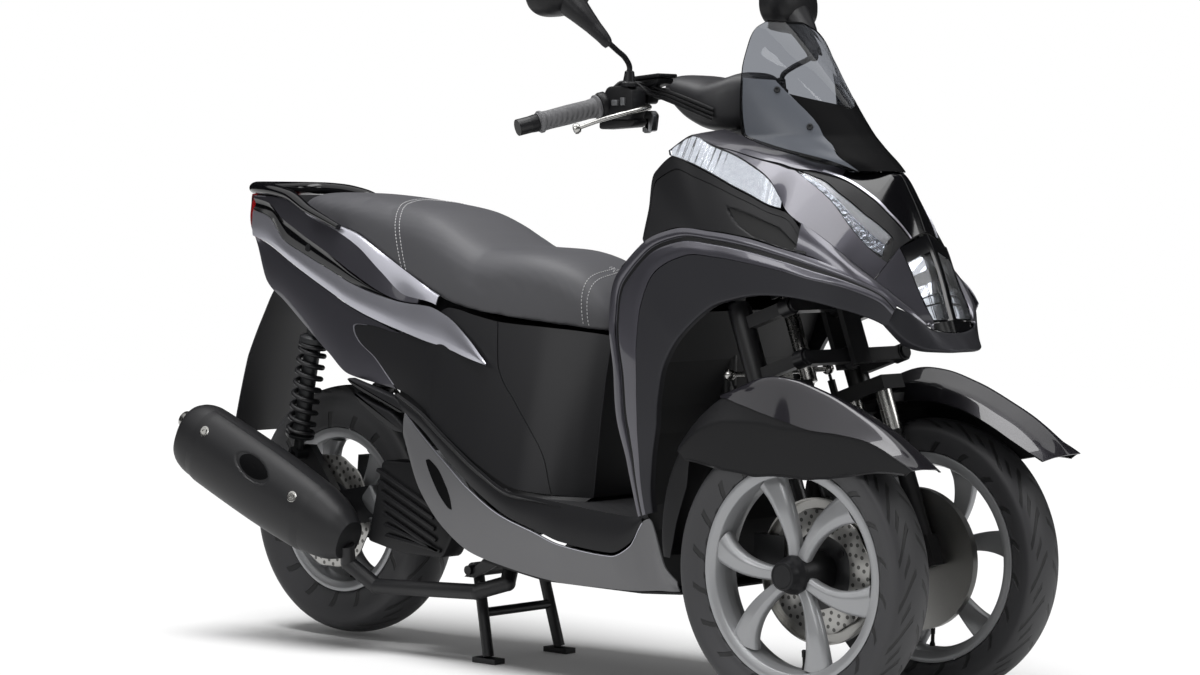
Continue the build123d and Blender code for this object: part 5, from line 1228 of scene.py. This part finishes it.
# ---- tail ----
class SCOOTER_OT_tail(bpy.types.Operator):
    """Tail: painted upper panel, sunk dark channel and bright strip on one surface through sections; grab rail, tail
    lamp, number plate deck and rear guard"""
    bl_idname = "scooter.tail"
    bl_label = "Tail"

    def execute(self, context):
        tail = surface(TAIL, across, None, 0.1)
        edge = through(TAIL_EDGE, 0, at=np.linspace(-842, -300, 110))
        x = edge[:, :1]
        upper = tail(x, edge[:, 1:] * np.linspace(0, 1, 16)[None])
        chan = tail(x, edge[:, 1:] + (1.0 - edge[:, 1:]) * np.linspace(0, 1, 12)[None])
        sunk = np.sin(np.linspace(0.05, np.pi - 0.05, 12))[None, :, None] * 6.0
        strip = over(tail, -842, -96, 150, 1.03, 2, 20)
        belly = np.sin(np.linspace(0, np.pi, 20))[None, :, None] * 2.2
        twins("tail_upper_panels", [panel(upper)], "gunmetal", "gunmetal_paint", "tail_panels")
        twins("tail_channels", [panel(chan - normals(chan) * sunk, 1.6)], "abs_gloss", "gloss_black", "tail_panels")
        twins("tail_strips", [panel(strip + normals(strip) * belly)], "bright", "silver_paint", "tail_panels")
        # shelf from the panel's top to the seat's foot, in bright silver: painted highlight where the panel's top face
        # catches the overhead light
        x = np.linspace(-838, -250, 110)
        foot = through(SEAT, 0, at=np.clip(x, -742, 140))
        inner = across(x, foot[:, 2] + 10, foot[:, 4] - 4 - 26 * np.clip((-742 - x) / 96, 0, 1))
        outer = tail(x[:, None], 0 * x[:, None])[:, 0]
        v = np.linspace(0, 1, 12)[None, :, None]
        shelf = outer[:, None] * (1 - v) + inner[:, None] * v + across(0, 5.0 * np.sin(np.pi * v[..., 0]), 0)
        twins("tail_shelf_highlights", [panel(shelf, 2.2)], "bright", "silver_paint")
        path = [(-552, 131, 829), (-600, 127, 846), (-650, 121, 863), (-724, 108.5, 893), (-790, 101, 903),
                (-836, 88, 905), (-858, 62, 905), (-866, 30, 905), (-867, 0, 905)]
        path = smooth_path(path + [(x, -y, z) for x, y, z in path[:-1][::-1]], 120)
        r = np.interp(path[:, 0], (-867, -840, -724, -552), (18, 17, 14, 7))
        piece("grab_rail_bar", [tube(path, r, 18, 0.75)], "abs_gloss", "gloss_black", "grab_rail")
        rows = through([(798, -934, 70), (812, -940, 76), (835, -945, 80), (870, -949, 72), (886, -950, 58),
                        (892.6, -949, 44)], 40)
        z, x0, w = rows.T
        half = [(x0, w * 0.06), (x0 + 30, w * 0.45), (x0 + 66, w * 0.88), (z * 0 - 850, w)]
        ring = np.stack([across(a, z, b) for a, b in half] + [across(a, z, -b) for a, b in half[::-1]], 1)
        rear = ring[:, -1:] * 0.5 + ring[:, :1] * 0.5
        loop = rounded(np.concatenate([rear, ring, rear], 1), (0, 6, 20, 14, 3, 3, 14, 20, 6, 0), 5, 6)[:, :-1]
        piece("tail_lamp_lens", [closed(loop)], "red", "lens_red", "tail_lamp")
        deck = block([(-845, -90), (-762, -90), (-762, 90), (-845, 90)], 847, 892, 10, 4, lambda a, b,
                     h: np.stack([a, b, np.full_like(a, h)], -1))
        bend = smooth_path([(-692, 0, 748), (-760, 0, 728), (-800, 0, 704), (-832, 0, 645), (-862, 0, 574),
                            (-892, 0, 485), (-916, 0, 402)], 70)
        half = np.interp(bend[:, 2], (402, 420, 560, 620, 700, 750), (70, 84, 87, 80, 70, 62))[:, None]
        v = np.linspace(-1, 1, 26)[None]
        P = across(bend[:, :1] + 5.0 * (1 - v ** 2), bend[:, 2:] + 0 * v, half * v)
        piece("rear_flap", [panel(P, 3.2, 0, (-600, 0, 500)), deck], "cover_grey", "matte_black", "rear_guard")
        return {"FINISHED"}


# ---- seat ----
def seat_form(shrink=0.0, n=110):
    """Seat shell: sections of the crown, of the side that pulls in below it and of the flat underside."""
    t = through(SEAT, n)
    x, zt, zb, w, wb = t.T
    w, wb, zt, zb = w - shrink, wb - shrink, zt - shrink, zb + shrink * 0.4
    h = zt - zb
    half = [(wb, zb), (w * 1.0, zb + 0.30 * h), (0.955 * w, zb + 0.72 * h), (0.70 * w, zb + 0.96 * h), (w * 0, zt)]
    row = half + [(-y, z) for y, z in half[:-1][::-1]]
    row = [(w * 0, zb)] + row + [(w * 0, zb)]
    P = rounded(np.stack([across(x, z, y) for y, z in row], 1), (0, 7, 34, 30, 60, 90, 60, 30, 34, 7, 0), 4, 6)
    return P[:, :-1]


def inflated(form, voxel, cap):
    """The form remeshed in voxel mm steps and blown up as cloth for 20 frames, no point further than cap mm from where
    it was and none pushed into the pan below."""
    scene = bpy.context.scene
    mesh = bpy.data.meshes.new("pad_start")
    mesh.from_pydata((form[0] * 0.001).tolist(), [], [face for faces in form[1] for face in faces.tolist()])
    pad = bpy.data.objects.new("pad_start", mesh)
    scene.collection.objects.link(pad)
    remesh = pad.modifiers.new("voxels", "REMESH")
    remesh.mode, remesh.voxel_size = "VOXEL", voxel * 0.001
    start = bpy.data.meshes.new_from_object(pad.evaluated_get(bpy.context.evaluated_depsgraph_get()))
    pad.modifiers.clear()
    pad.data = start
    cloth = pad.modifiers.new("air", "CLOTH")
    cloth.settings.use_pressure, cloth.settings.uniform_pressure_force = True, 4.0
    cloth.settings.effector_weights.gravity = 0.0
    for k in range(1, 21):
        scene.frame_set(k)
    blown = bpy.data.meshes.new_from_object(pad.evaluated_get(bpy.context.evaluated_depsgraph_get()))
    a, b = np.empty(len(start.vertices) * 3), np.empty(len(blown.vertices) * 3)
    start.vertices.foreach_get("co", a)
    blown.vertices.foreach_get("co", b)
    a, b = a.reshape(-1, 3) * 1000, b.reshape(-1, 3) * 1000
    d = b - a
    far = np.maximum(np.linalg.norm(d, axis=1, keepdims=True), 1e-6)
    d = d / far * cap * np.tanh(far / cap)
    d[:, 2] = np.maximum(d[:, 2], -0.4)
    corners = np.empty(len(start.loops), int)
    start.loops.foreach_get("vertex_index", corners)
    sides = np.empty(len(start.polygons), int)
    start.polygons.foreach_get("loop_total", sides)
    if sides.min() != 4 or sides.max() != 4:
        raise RuntimeError("the remeshed pad has faces other than quads")
    scene.frame_set(1)
    bpy.data.objects.remove(pad)
    return a + d, [corners.reshape(-1, 4)]


class SCOOTER_OT_seat(bpy.types.Operator):
    """Seat cover: a shell through sections, closed at both ends and blown up as cloth"""
    bl_idname = "scooter.seat"
    bl_label = "Seat"

    def execute(self, context):
        form = inflated(closed(seat_form(PAD_SHRINK)), PAD_VOXEL, PAD_CAP)
        seat = piece("seat_cover", [form], "vinyl", "seat_vinyl", "seat_cushion", body="seat", sharp=80)
        soft = seat.modifiers.new("smooth", "SUBSURF")
        soft.levels = soft.render_levels = 1
        return {"FINISHED"}


# ---- silencer ----
# the sections' corner: power of sine and cosine
MUFF_POWER = 0.86
# ends of the axis, rear and front
MUFF_A, MUFF_B = np.array((-898.0, -212.0, 409.0)), np.array((-462.0, -186.0, 219.0))


class SCOOTER_OT_silencer(bpy.types.Operator):
    """Silencer: superellipse sections along its axis, a heat shield over its outer side with a sunk oval and bolts, an
    open tail pipe and a hanger"""
    bl_idname = "scooter.silencer"
    bl_label = "Silencer"

    def execute(self, context):
        d = (MUFF_B - MUFF_A) / np.linalg.norm(MUFF_B - MUFF_A)
        s = np.array((0, 1.0, 0)) - d * d[1]
        s /= np.linalg.norm(s)
        u = np.cross(s, d)

        def at(share, angle):
            share, angle = np.broadcast_arrays(np.asarray(share, float), np.asarray(angle, float))
            t = through(MUFFLER, 0, at=share.ravel())
            a = np.radians(angle.ravel())
            c, k = np.cos(a), np.sin(a)
            k, c = powered(k, MUFF_POWER), powered(c, MUFF_POWER)
            P = MUFF_A + (MUFF_B - MUFF_A) * t[:, :1] + u * (t[:, 1] * k)[:, None] + s * (t[:, 2] * c)[:, None]
            return P.reshape(share.shape + (3,))
        body = at(np.linspace(0, 1, 70)[:, None], np.linspace(0, 360, 56, endpoint=False)[None])
        mid = (MUFF_A + MUFF_B) / 2
        shells = [closed(body)]
        shells.append(block([(-640, 300), (-560, 290), (-540, 262), (-600, 250)], -150, -94.2, 8, 2))
        piece("silencer_body", shells, "heat", "muffler_black", "silencer")
        shield = at(np.linspace(0.10, 0.83, 90)[:, None], np.linspace(98, 262, 60)[None])
        lift = np.minimum(np.linspace(0, 1, 90) * 14, (1 - np.linspace(0, 1, 90)) * 14)[:, None]
        lift = np.clip(np.minimum(lift, np.minimum(np.arange(60), 59 - np.arange(60))[None] * 0.8), 0, 1)
        shield = shield + normals(shield, mid) * (lift * 3.4 - 1.0)[..., None]
        oval = [(-668 + 44 * np.cos(a) + 10 * np.sin(a), 352 - 24 * np.cos(a) + 20 * np.sin(a)) for a in circle(16)]
        piece("silencer_shield", [wall(cut(shield, oval, 9.0, 7.0, mid), 1.0, mid)], "heat", "muffler_black")
        r, a = np.linspace(0, 1, 10)[:, None], circle(40)[None]
        hole = at(0.491 + 0.088 * r * np.cos(a), 211 + 17 * r * np.sin(a))
        piece("silencer_hole", [outward(sheet(hole + normals(hole, mid) * 0.5, ring=True))], "print", "muffler_black")
        bolts = []
        for share, angle in ((0.17, 212), (0.735, 206)):
            at3 = at(share + np.array([[-0.01], [0], [0.01]]), angle + np.array([[-2, 0, 2]]))
            bolts.append(stud(at3 + normals(at3, mid) * 2.4, 7.5, 3.5, mid))
            bolts.append(stud(at3 + normals(at3, mid) * 2.2, 11.0, 1.2, mid))
        piece("silencer_bolts", bolts, "steel", "steel")
        a, b = np.array((-888.0, -205, 419)), np.array((-925.0, -208, 434))
        w = (b - a) / np.linalg.norm(b - a)
        L = np.linalg.norm(b - a)
        piece("tail_pipe", [turned([(17, 0), (17, L - 1), (16.2, L), (14, L), (13.2, L - 1), (13.2, 2)], 0, 0, n=40,
                                   axis_dir=w, origin=a)], "steel", "steel")
        piece("tail_pipe_bore", [knob(a, w, [(13.2, 3), (13.2, 5)], 30)], "recess", "muffler_black")
        return {"FINISHED"}


# ---- rear springs, radiator cover ----
COIL_TURNS, COIL_R, WIRE_R = 9.2, 25.0, 5.2


class SCOOTER_OT_rear_fittings(bpy.types.Operator):
    """Rear springs as helices round their dampers, and the louvred radiator cover"""
    bl_idname = "scooter.rear_fittings"
    bl_label = "Springs and radiator cover"

    def execute(self, context):
        foot, top = np.array((-690.0, 112, 372)), np.array((-634.0, 112, 640))
        w = (top - foot) / np.linalg.norm(top - foot)
        L = np.linalg.norm(top - foot)
        u = np.array((0, 1.0, 0))
        v = np.cross(w, u)
        a = np.linspace(0, COIL_TURNS * 2 * np.pi, 260)
        h = np.interp(a, (0, np.pi * 2, a[-1] - np.pi * 2, a[-1]), (40, 48, 218, 226))
        helix = foot + w * h[:, None] + COIL_R * (u * np.cos(a)[:, None] + v * np.sin(a)[:, None])
        spring = tube(helix, WIRE_R, 10, up=w)
        damper = knob(foot, w, [(11, 2), (11, 30), (27, 33), (29, 36), (29, 39), (22, 41), (16, 60), (16, 222),
                                (22, 228), (29, 230), (29, 240), (24, 244), (17, 246), (17, L - 4)], 30)
        eyes = [turned([(14, -15), (14, 15), (6, 15), (6, -15)], x, z, 109, 36) for x, z in ((-634, 640), (-690, 372))]
        twins("spring_coils", [spring], "frame", "frame_black", "rear_shocks")
        piece("spring_dampers", pair(damper) + both(eyes), "case", "frame_black", "rear_shocks")
        outline = [(-440, 218), (-400, 378), (-309, 379), (-205, 245), (-232, 200), (-346, 200)]
        slats = []
        for i in range(7):
            x0, z0 = -410 + 4 * i, 356 - 21 * i
            x1 = min(x0 + 150, -228)
            z1 = max(z0 - (x1 - x0) * 0.42, 210)
            slats.append(block([(x0, z0), (x0 + 3, z0 + 7), (x1 + 3, z1 + 7), (x1, z1)], -152, -164.6, 2, 1.5))
        boss = [(-462, 300), (-436, 330), (-412, 300), (-400, 262), (-428, 268), (-446, 280)]
        piece("case_castings", [block(boss, -128, -156, 8, 4),
                                block([(-452, 262), (-392, 262), (-372, 236), (-440, 240)], -120, -146, 6, 3)], "cast",
              "alloy_case", sharp=35)
        piece("radiator_cover_shell", [block(outline, -105.3, -158, 10, 5)] + slats, "pp_black", "matte_black",
              "radiator_cover", sharp=35)
        return {"FINISHED"}


# ---- seams of the seat ----
# half width, height and drop of the arch from which the seams' lines are cast
SEAM_HALF, SEAM_TOP, SEAM_DROP = 175.0, 900.0, 260.0
# x on the middle line, lead of the seam's foot over it, and how far round each side it runs
SEAT_SEAMS = [(-452, 110.0, 0.985), (-440, 110.0, 0.985), (54, 26.0, 0.97), (64, 26.0, 0.97)]


class SCOOTER_OT_seat_seams(bpy.types.Operator):
    """Seat seams: stitches as short capsules along four lines on the finished cover, each a slanted section of it"""
    bl_idname = "scooter.seat_seams"
    bl_label = "Seat seams"

    def execute(self, context):
        cover = bpy.data.objects["seat_cover"]
        stitch = context.scene.scooter_sizes.stitch * 1000
        forms = []
        for x0, lead, reach in SEAT_SEAMS:
            s = np.linspace(-1, 1, 400) * reach
            points = []
            for k in s:
                y = SEAM_HALF * np.sin(k * np.pi / 2)
                x = x0 + lead * (1 - np.cos(k * np.pi / 2)) ** 0.8
                z = SEAM_TOP - SEAM_DROP * (1 - np.cos(k * np.pi / 2))
                origin = np.array((x, y * 1.3, z + 120.0))
                aim = np.array((x, y * 0.1, z - 90.0))
                d = aim - origin
                d /= np.linalg.norm(d)
                hit, at, n, _ = cover.ray_cast((origin * 0.001).tolist(), d.tolist())
                if hit:
                    points.append(np.array(at) * 1000 + np.array(n) * 0.5)
            if len(points) < 200:
                raise RuntimeError("a seat seam misses the cover")
            p = np.array(points)
            d = np.concatenate([[0], np.cumsum(np.linalg.norm(np.diff(p, axis=0), axis=1))])
            starts = np.arange(2.0, d[-1] - stitch, stitch * 1.55)
            for a in starts:
                q = np.stack([np.interp([a, a + stitch * 0.15, a + stitch * 0.85, a + stitch], d, p[:, k])
                              for k in range(3)], 1)
                forms.append(tube(q, np.array((0.25, 0.75, 0.75, 0.25)), 6))
        piece("seat_stitches", forms, "thread", "seat_vinyl", body="seat")
        return {"FINISHED"}


# ---- bars, controls, mirrors ----
GRIP_AT = np.array((222.0, 225.0, 1054.0))
GRIP_DIR = np.array((-57.0, 122.0, -34.0)) / np.linalg.norm((-57.0, 122.0, -34.0))


def oval_rows(rows, n, power):
    """Superellipse sections: rows of (x, half width, low, high) and the section's power."""
    t = through(rows, n)
    a = circle(44)
    c, s = np.cos(a), np.sin(a)
    c, s = powered(c, 2 / power), powered(s, 2 / power)
    x, w, lo, hi = (v[:, None] for v in t.T)
    return across(x + 0 * a, (lo + hi) / 2 + (hi - lo) / 2 * s, w * c)


class SCOOTER_OT_bars(bpy.types.Operator):
    """Handlebar cover, grips, levers, switch housings, brake reservoirs, cables and mirrors, each on both sides"""
    bl_idname = "scooter.bars"
    bl_label = "Bars and mirrors"

    def execute(self, context):
        cover = oval_rows([(240, 44, 1097, 1107), (250, 74, 1080, 1112), (272, 86, 1052, 1116), (306, 90, 1026, 1112),
                           (340, 90, 1013, 1106), (372, 84, 1010, 1112), (400, 70, 1014, 1119), (422, 50, 1030, 1114),
                           (432, 26, 1054, 1098)], 60, 3.2)
        piece("handlebar_cover_shell", [closed(cover)], "cover_grey", "matte_black", "handlebar_cover", body="steering")
        grip = [(12, -1), (21, 0), (22.5, 2), (22.5, 5), (18.5, 8), (17.2, 20), (17.8, 60), (17.0, 100), (17.6, 110),
                (20, 113), (20, 117), (17, 119), (17, 121), (12, 121)]
        weight = [(11, 121), (15.5, 122), (16, 126), (13.5, 152), (12, 158), (7, 160), (6, 155)]
        twins("grip_sleeves", [knob(GRIP_AT, GRIP_DIR, grip, 40)], "grip", "grip_rubber", "grips", body="steering")
        twins("bar_ends", [knob(GRIP_AT, GRIP_DIR, weight, 36)], "abs_grey", "matte_black", body="steering")
        # switch housing round the bar, its lower half wider, and the throttle drum beside the grip
        house = knob(GRIP_AT, -GRIP_DIR,
                     [(18, 0), (23, 1), (25, 5), (25, 14), (22.5, 17), (21, 20), (21.5, 44), (17, 48)], 36)
        box = block([(236, 1032), (296, 1030), (302, 1048), (302, 1082), (286, 1092), (240, 1090), (230, 1072)], 186,
                    224, 7, 4)
        low = block([(212, 1014), (292, 1018), (300, 1030), (262, 1046), (214, 1034)], 176, 214, 7, 4)
        twins("switch_housings", [house, box, low], "pp_black", "matte_black", "bar_controls", body="steering")
        buttons = [block([(256, 1056), (270, 1056), (270, 1066), (256, 1066)], 222, 229, 2, 1.2),
                   block([(276, 1056), (286, 1056), (286, 1070), (276, 1070)], 222, 228, 2, 1.2)]
        twins("switch_buttons", buttons, "rim_dark", "matte_grey", body="steering")
        path = smooth_path([(296, 176, 1054), (304, 200, 1050), (296, 226, 1044), (266, 268, 1029), (234, 298, 1013)],
                           50)
        r = np.interp(np.linspace(0, 1, 50), (0, 0.15, 0.5, 1), (8.5, 7.5, 6.0, 5.2))
        lever = tube(path, r, 14, 0.7)
        end = path[-1] - path[-2]
        tip = knob(path[-1] - end * 2, end, [(4, -3), (8, -1), (10, 4), (8.5, 9), (3, 11)], 20)
        twins("brake_levers", [lever, tip], "steel", "steel", body="steering")
        clamp = block([(258, 1034), (262, 1048), (290, 1048), (297, 1040), (293, 1012), (284, 1010), (284, 1032)], 144,
                      162, 3, 2)
        pin = knob((276, 153, 1016), (0, 0, -1), [(5, -4), (9, -2), (9, 5), (5, 8)], 20)
        twins("lever_links", [clamp, pin], "cast", "alloy_case", body="steering")
        tank = block([(246, 1088), (268, 1084), (318, 1096), (322, 1106), (246, 1100)], 132, 176, 5, 3)
        lid = block([(240, 1099), (325, 1107), (325, 1114), (240, 1107)], 128, 180, 3, 2)
        base = block([(250, 1060), (290, 1060), (300, 1090), (250, 1088)], 140, 170, 5, 3)
        twins("brake_reservoirs", [tank, lid, base], "pp_black", "matte_black", body="steering")
        runs = []
        for k in range(3):
            s = k * 8.0
            runs.append(smooth_path([(252 + s, 218 - s, 1086), (262 + s, 206 - s, 1097 - k), (282 + s, 180, 1096 - s),
                                     (304 + s / 2, 150, 1086 - s), (344, 112, 1066 - s), (374, 88, 1050 - s)], 60))
        twins("control_cables", (tube(run, 4.0, 12) for run in runs), "pp_black", "grip_rubber", body="steering")
        # mirrors: base cone, bent stem, neck that swells into the head, glass in a sunk frame
        foot = knob((286, 215, 1090), (0.06, 0.02, 1), [(15, 0), (15, 6), (11, 9), (8.5, 26), (6, 28)], 28)
        stem = tube(smooth_path([(287, 216, 1108), (289, 217, 1120), (297, 238, 1139), (303, 266, 1151),
                                 (307, 292, 1163)], 50), 5.0, 16)
        neck = smooth_path([(308, 294, 1158), (303, 298, 1168), (284, 306, 1190), (258, 316, 1218), (228, 323, 1246)],
                           40)
        swell = np.interp(np.linspace(0, 1, 40), (0, 0.06, 0.35, 0.7, 1), (9, 13, 18, 27, 36))
        t = through([(196, 0.90, 0.88), (199, 0.97, 0.96), (205, 1.0, 1.0), (222, 0.985, 0.97), (238, 0.86, 0.83),
                     (248, 0.62, 0.6), (254, 0.25, 0.25)], 44)
        a = circle(60)
        c, s = powered(np.cos(a), 0.8), powered(np.sin(a), 0.8)
        z = MIRROR_AT[2] - 0.5 + MIRROR_HALF[1] * t[:, 2:] * s - 6 * c
        P = across(t[:, :1] + 0 * a, z, MIRROR_AT[1] + MIRROR_HALF[0] * t[:, 1:2] * c)
        head = closed(P)
        glass = np.concatenate([(P[:1] - MIRROR_AT) * k + MIRROR_AT for k in (0.96, 0.5, 0.02)]) - (1.2, 0, 0)
        twins("mirror_shells", [foot, stem, tube(neck, swell, 28, 0.8), head], "abs_grey", "matte_black", "mirrors",
              body="steering")
        back = glass + (2.0, 0, 0)
        pane = closed(np.concatenate([glass[::-1], back]))
        twins("mirror_glass", [pane], "mirror", "mirror_black", body="steering")
        return {"FINISHED"}


# ---- nodes shown as they are ----
# finish, material slot: nodes
PLAIN = {
    ("frame", "frame_black"): "main_frame swing_arm handlebar upper_arm lower_arm side_member_l side_member_r fork_l "
                              "fork_r centre_stand side_stand",
    ("pp_black", "matte_black"): "wheel_house under_cover storage_box seat_pan",
    ("steel", "steel"): "steering_column tie_rod_yoke tie_rod",
    ("cast", "alloy_case"): "engine_block",
    ("case", "alloy_case"): "drive_case",
    ("heat", "steel"): "exhaust_pipe",
}
# finish of a node that a piece stands for, by a word in its name
SPARE = {"tyre": "tyre", "rim": "wheel", "disc": "disc", "fender": "midnight", "seat": "vinyl", "lamp": "lens",
         "windscreen": "smoke", "cowl": "gunmetal", "arch": "gunmetal", "tail": "gunmetal", "skirts": "silver",
         "grips": "grip", "silencer": "heat"}


class SCOOTER_OT_plain_nodes(bpy.types.Operator):
    """Gives every solid that no piece stands for its finish"""
    bl_idname = "scooter.plain_nodes"
    bl_label = "Frame and links"

    def execute(self, context):
        f = look()
        plain = {name: kind for kind, names in PLAIN.items() for name in names.split()}
        for name, node in NODES.items():
            key, slot = plain.get(name, (next((v for k, v in SPARE.items() if k in name), "pp_black"), None))
            node.data.materials.clear()
            node.data.materials.append(f[key])
        return {"FINISHED"}


# ---- studio ----
CAMERA_AT = (4.0930, -4.5200, 0.9100)
CAMERA_YAW, CAMERA_PITCH, CAMERA_ROLL = 131.9733, -2.6647, 0.3540
CAMERA_LENS = 96.705
SKY_ENERGY, SKY_ANGLE, SKY_TILT = 2.95, 36.0, (11.0, -3.0, 0.0)
AIR_LIGHT = 0.22
# place, aim, size, share of the overhead lamp's power
LAMPS = {"overhead_lamp": ((0.2, -0.4, 3.4), (0, 0, 0.6), (3.4, 1.6), 1.0),
         "front_lamp": ((3.6, 1.6, 2.2), (0.3, 0, 0.7), (1.2, 1.6), 0.35),
         "side_lamp": ((0.6, -3.6, 2.4), (0, 0, 0.5), (2.6, 0.8), 0.35)}
# the dark ring: radius, height, added height on its far side, where that is
RING_R, RING_TOP, RING_RISE, RING_FAR = 6.2, 2.6, 5.2, 132.0


def seen(t):
    """1 on rays from the camera, and on those that a glossy or clear surface sends on."""
    rays = add(t, "LightPath").outputs
    first = add(t, "Math", [rays["Is Camera Ray"], rays["Is Glossy Ray"]], operation="MAXIMUM")
    return add(t, "Math", [first, rays["Is Transmission Ray"]], operation="MAXIMUM")


class SCOOTER_OT_studio(bpy.types.Operator):
    """White floor, soft overhead lamps, dark side flags and the camera"""
    bl_idname = "scooter.studio"
    bl_label = "Studio"

    def execute(self, context):
        sizes, scene = context.scene.scooter_sizes, context.scene
        a = circle(64)
        r = np.array([[1e-6], [1.0]]) * sizes.backdrop * 1000
        P = across(r * np.cos(a), -0.6, r * np.sin(a))
        v, faces = sheet(P, ring=True)
        mesh = bpy.data.meshes.new("studio_floor")
        mesh.from_pydata((v * 0.001).tolist(), [], faces[0].tolist())
        floor = bpy.data.objects.new("studio_floor", mesh)
        scene.collection.objects.link(floor)
        paper = bpy.data.materials.new("studio paper, matt white")
        t = emptied(paper)
        glow = add(t, "Math", [seen(t), 0.03], operation="MULTIPLY")
        lift = add(t, "Emission", {"Color": (1, 1, 1, 1), "Strength": glow})
        matt = add(t, "BsdfDiffuse", {"Color": linear("#f4f4f4")})
        lit = add(t, "AddShader", [matt, lift])
        add(t, "OutputMaterial", {"Surface": lit})
        mesh.materials.append(paper)
        scene.world = bpy.data.worlds.new("studio_air")
        t = emptied(scene.world)
        strength = add(t, "MapRange", {"Value": seen(t), "To Min": AIR_LIGHT, "To Max": 1.0})
        back = add(t, "Background", {"Color": (1, 1, 1, 1), "Strength": strength})
        add(t, "OutputWorld", {"Surface": back})
        unlit = bpy.data.collections.new("lit by air alone")
        unlit.objects.link(floor)
        unlit.collection_objects[0].light_linking.link_state = "EXCLUDE"
        for name, (at, aim, size, share) in LAMPS.items():
            lamp = bpy.data.lights.new(name, "AREA")
            lamp.shape, lamp.size, lamp.size_y, lamp.energy = "RECTANGLE", *size, sizes.lamp_power * share
            o = bpy.data.objects.new(name, lamp)
            d = np.array(aim, float) - np.array(at)
            w = -d / np.linalg.norm(d)
            u = np.cross((0, 1, 0) if abs(w[2]) > 0.9 else (0, 0, 1), w)
            u /= np.linalg.norm(u)
            m = np.eye(4)
            m[:3, 0], m[:3, 1], m[:3, 2], m[:3, 3] = u, np.cross(w, u), w, at
            o.matrix_world = Matrix(m.tolist())
            o.light_linking.receiver_collection = unlit
            scene.collection.objects.link(o)
        sky = bpy.data.lights.new("sky_lamp", "SUN")
        sky.energy, sky.angle = SKY_ENERGY, np.radians(SKY_ANGLE)
        o = bpy.data.objects.new("sky_lamp", sky)
        o.rotation_euler = np.radians(SKY_TILT).tolist()
        o.visible_glossy = False
        scene.collection.objects.link(o)
        flag = bpy.data.materials.new("flag cloth, matt black")
        t = emptied(flag)
        add(t, "OutputMaterial", {"Surface": add(t, "BsdfDiffuse", {"Color": linear("#2a2a2a")})})
        # a dark ring and a dark card ahead, seen only in reflections, so that paint and glass keep their depth
        a = np.linspace(0, 2 * np.pi, 49)
        top = RING_TOP + RING_RISE * np.clip(np.cos(a - np.radians(RING_FAR)), 0, 1)
        ring = np.stack([across(RING_R * np.cos(a), z, RING_R * np.sin(a)) for z in (0.02, top)])
        card = across(np.array([[1.4], [4.6]]), np.array([[3.6], [2.5]]), np.array([[-3.4, 3.4]]))
        for name, grid in (("flag_ring", ring), ("flag_front", card)):
            v, faces = sheet(grid)
            mesh = bpy.data.meshes.new(name)
            mesh.from_pydata(v.tolist(), [], faces[0].tolist())
            mesh.materials.append(flag)
            o = bpy.data.objects.new(name, mesh)
            o.visible_camera = o.visible_shadow = o.visible_transmission = o.visible_diffuse = False
            scene.collection.objects.link(o)
        yaw, pitch, roll = np.radians((CAMERA_YAW, CAMERA_PITCH, CAMERA_ROLL))
        fw = np.array([np.cos(pitch) * np.cos(yaw), np.cos(pitch) * np.sin(yaw), np.sin(pitch)])
        right = np.cross(fw, (0, 0, 1))
        right /= np.linalg.norm(right)
        up = np.cross(right, fw)
        m = np.eye(4)
        m[:3, 0] = right * np.cos(roll) + up * np.sin(roll)
        m[:3, 1] = -right * np.sin(roll) + up * np.cos(roll)
        m[:3, 2], m[:3, 3] = -fw, CAMERA_AT
        cam = bpy.data.objects.new("camera", bpy.data.cameras.new("camera"))
        cam.matrix_world = Matrix(m.tolist())
        cam.data.lens, cam.data.sensor_width = CAMERA_LENS, 36.0
        cam.data.clip_start, cam.data.clip_end = 0.05, 100.0
        scene.collection.objects.link(cam)
        scene.camera = cam
        scene.view_settings.view_transform = "Standard"
        return {"FINISHED"}


class SCOOTER_PT_panel(bpy.types.Panel):
    """Sidebar panel that lists the colours, sizes and pieces"""
    bl_label = "Scooter"
    bl_idname = "SCOOTER_PT_panel"
    bl_space_type = "VIEW_3D"
    bl_region_type = "UI"
    bl_category = "Scooter"

    def draw(self, context):
        for group in (context.scene.scooter_look, context.scene.scooter_sizes):
            for key in group.__annotations__:
                self.layout.prop(group, key)
        for op in OPERATORS:
            self.layout.operator(op.bl_idname)


OPERATORS = (SCOOTER_OT_plain_nodes, SCOOTER_OT_front_wheels, SCOOTER_OT_rear_wheel, SCOOTER_OT_front_fenders,
             SCOOTER_OT_arches, SCOOTER_OT_nose, SCOOTER_OT_windscreen, SCOOTER_OT_sides, SCOOTER_OT_tail,
             SCOOTER_OT_seat, SCOOTER_OT_silencer, SCOOTER_OT_rear_fittings, SCOOTER_OT_seat_seams, SCOOTER_OT_bars,
             SCOOTER_OT_studio)
CLASSES = (ScooterLook, ScooterSizes) + OPERATORS + (SCOOTER_PT_panel,)


def register():
    for c in CLASSES:
        bpy.utils.register_class(c)
    bpy.types.Scene.scooter_look = PointerProperty(type=ScooterLook)
    bpy.types.Scene.scooter_sizes = PointerProperty(type=ScooterSizes)


def unregister():
    del bpy.types.Scene.scooter_look
    del bpy.types.Scene.scooter_sizes
    for c in reversed(CLASSES):
        bpy.utils.unregister_class(c)


def main():
    register()
    for op in OPERATORS:
        space, name = op.bl_idname.split(".")
        getattr(getattr(bpy.ops, space), name)()


if __name__ == "__main__":
    main()
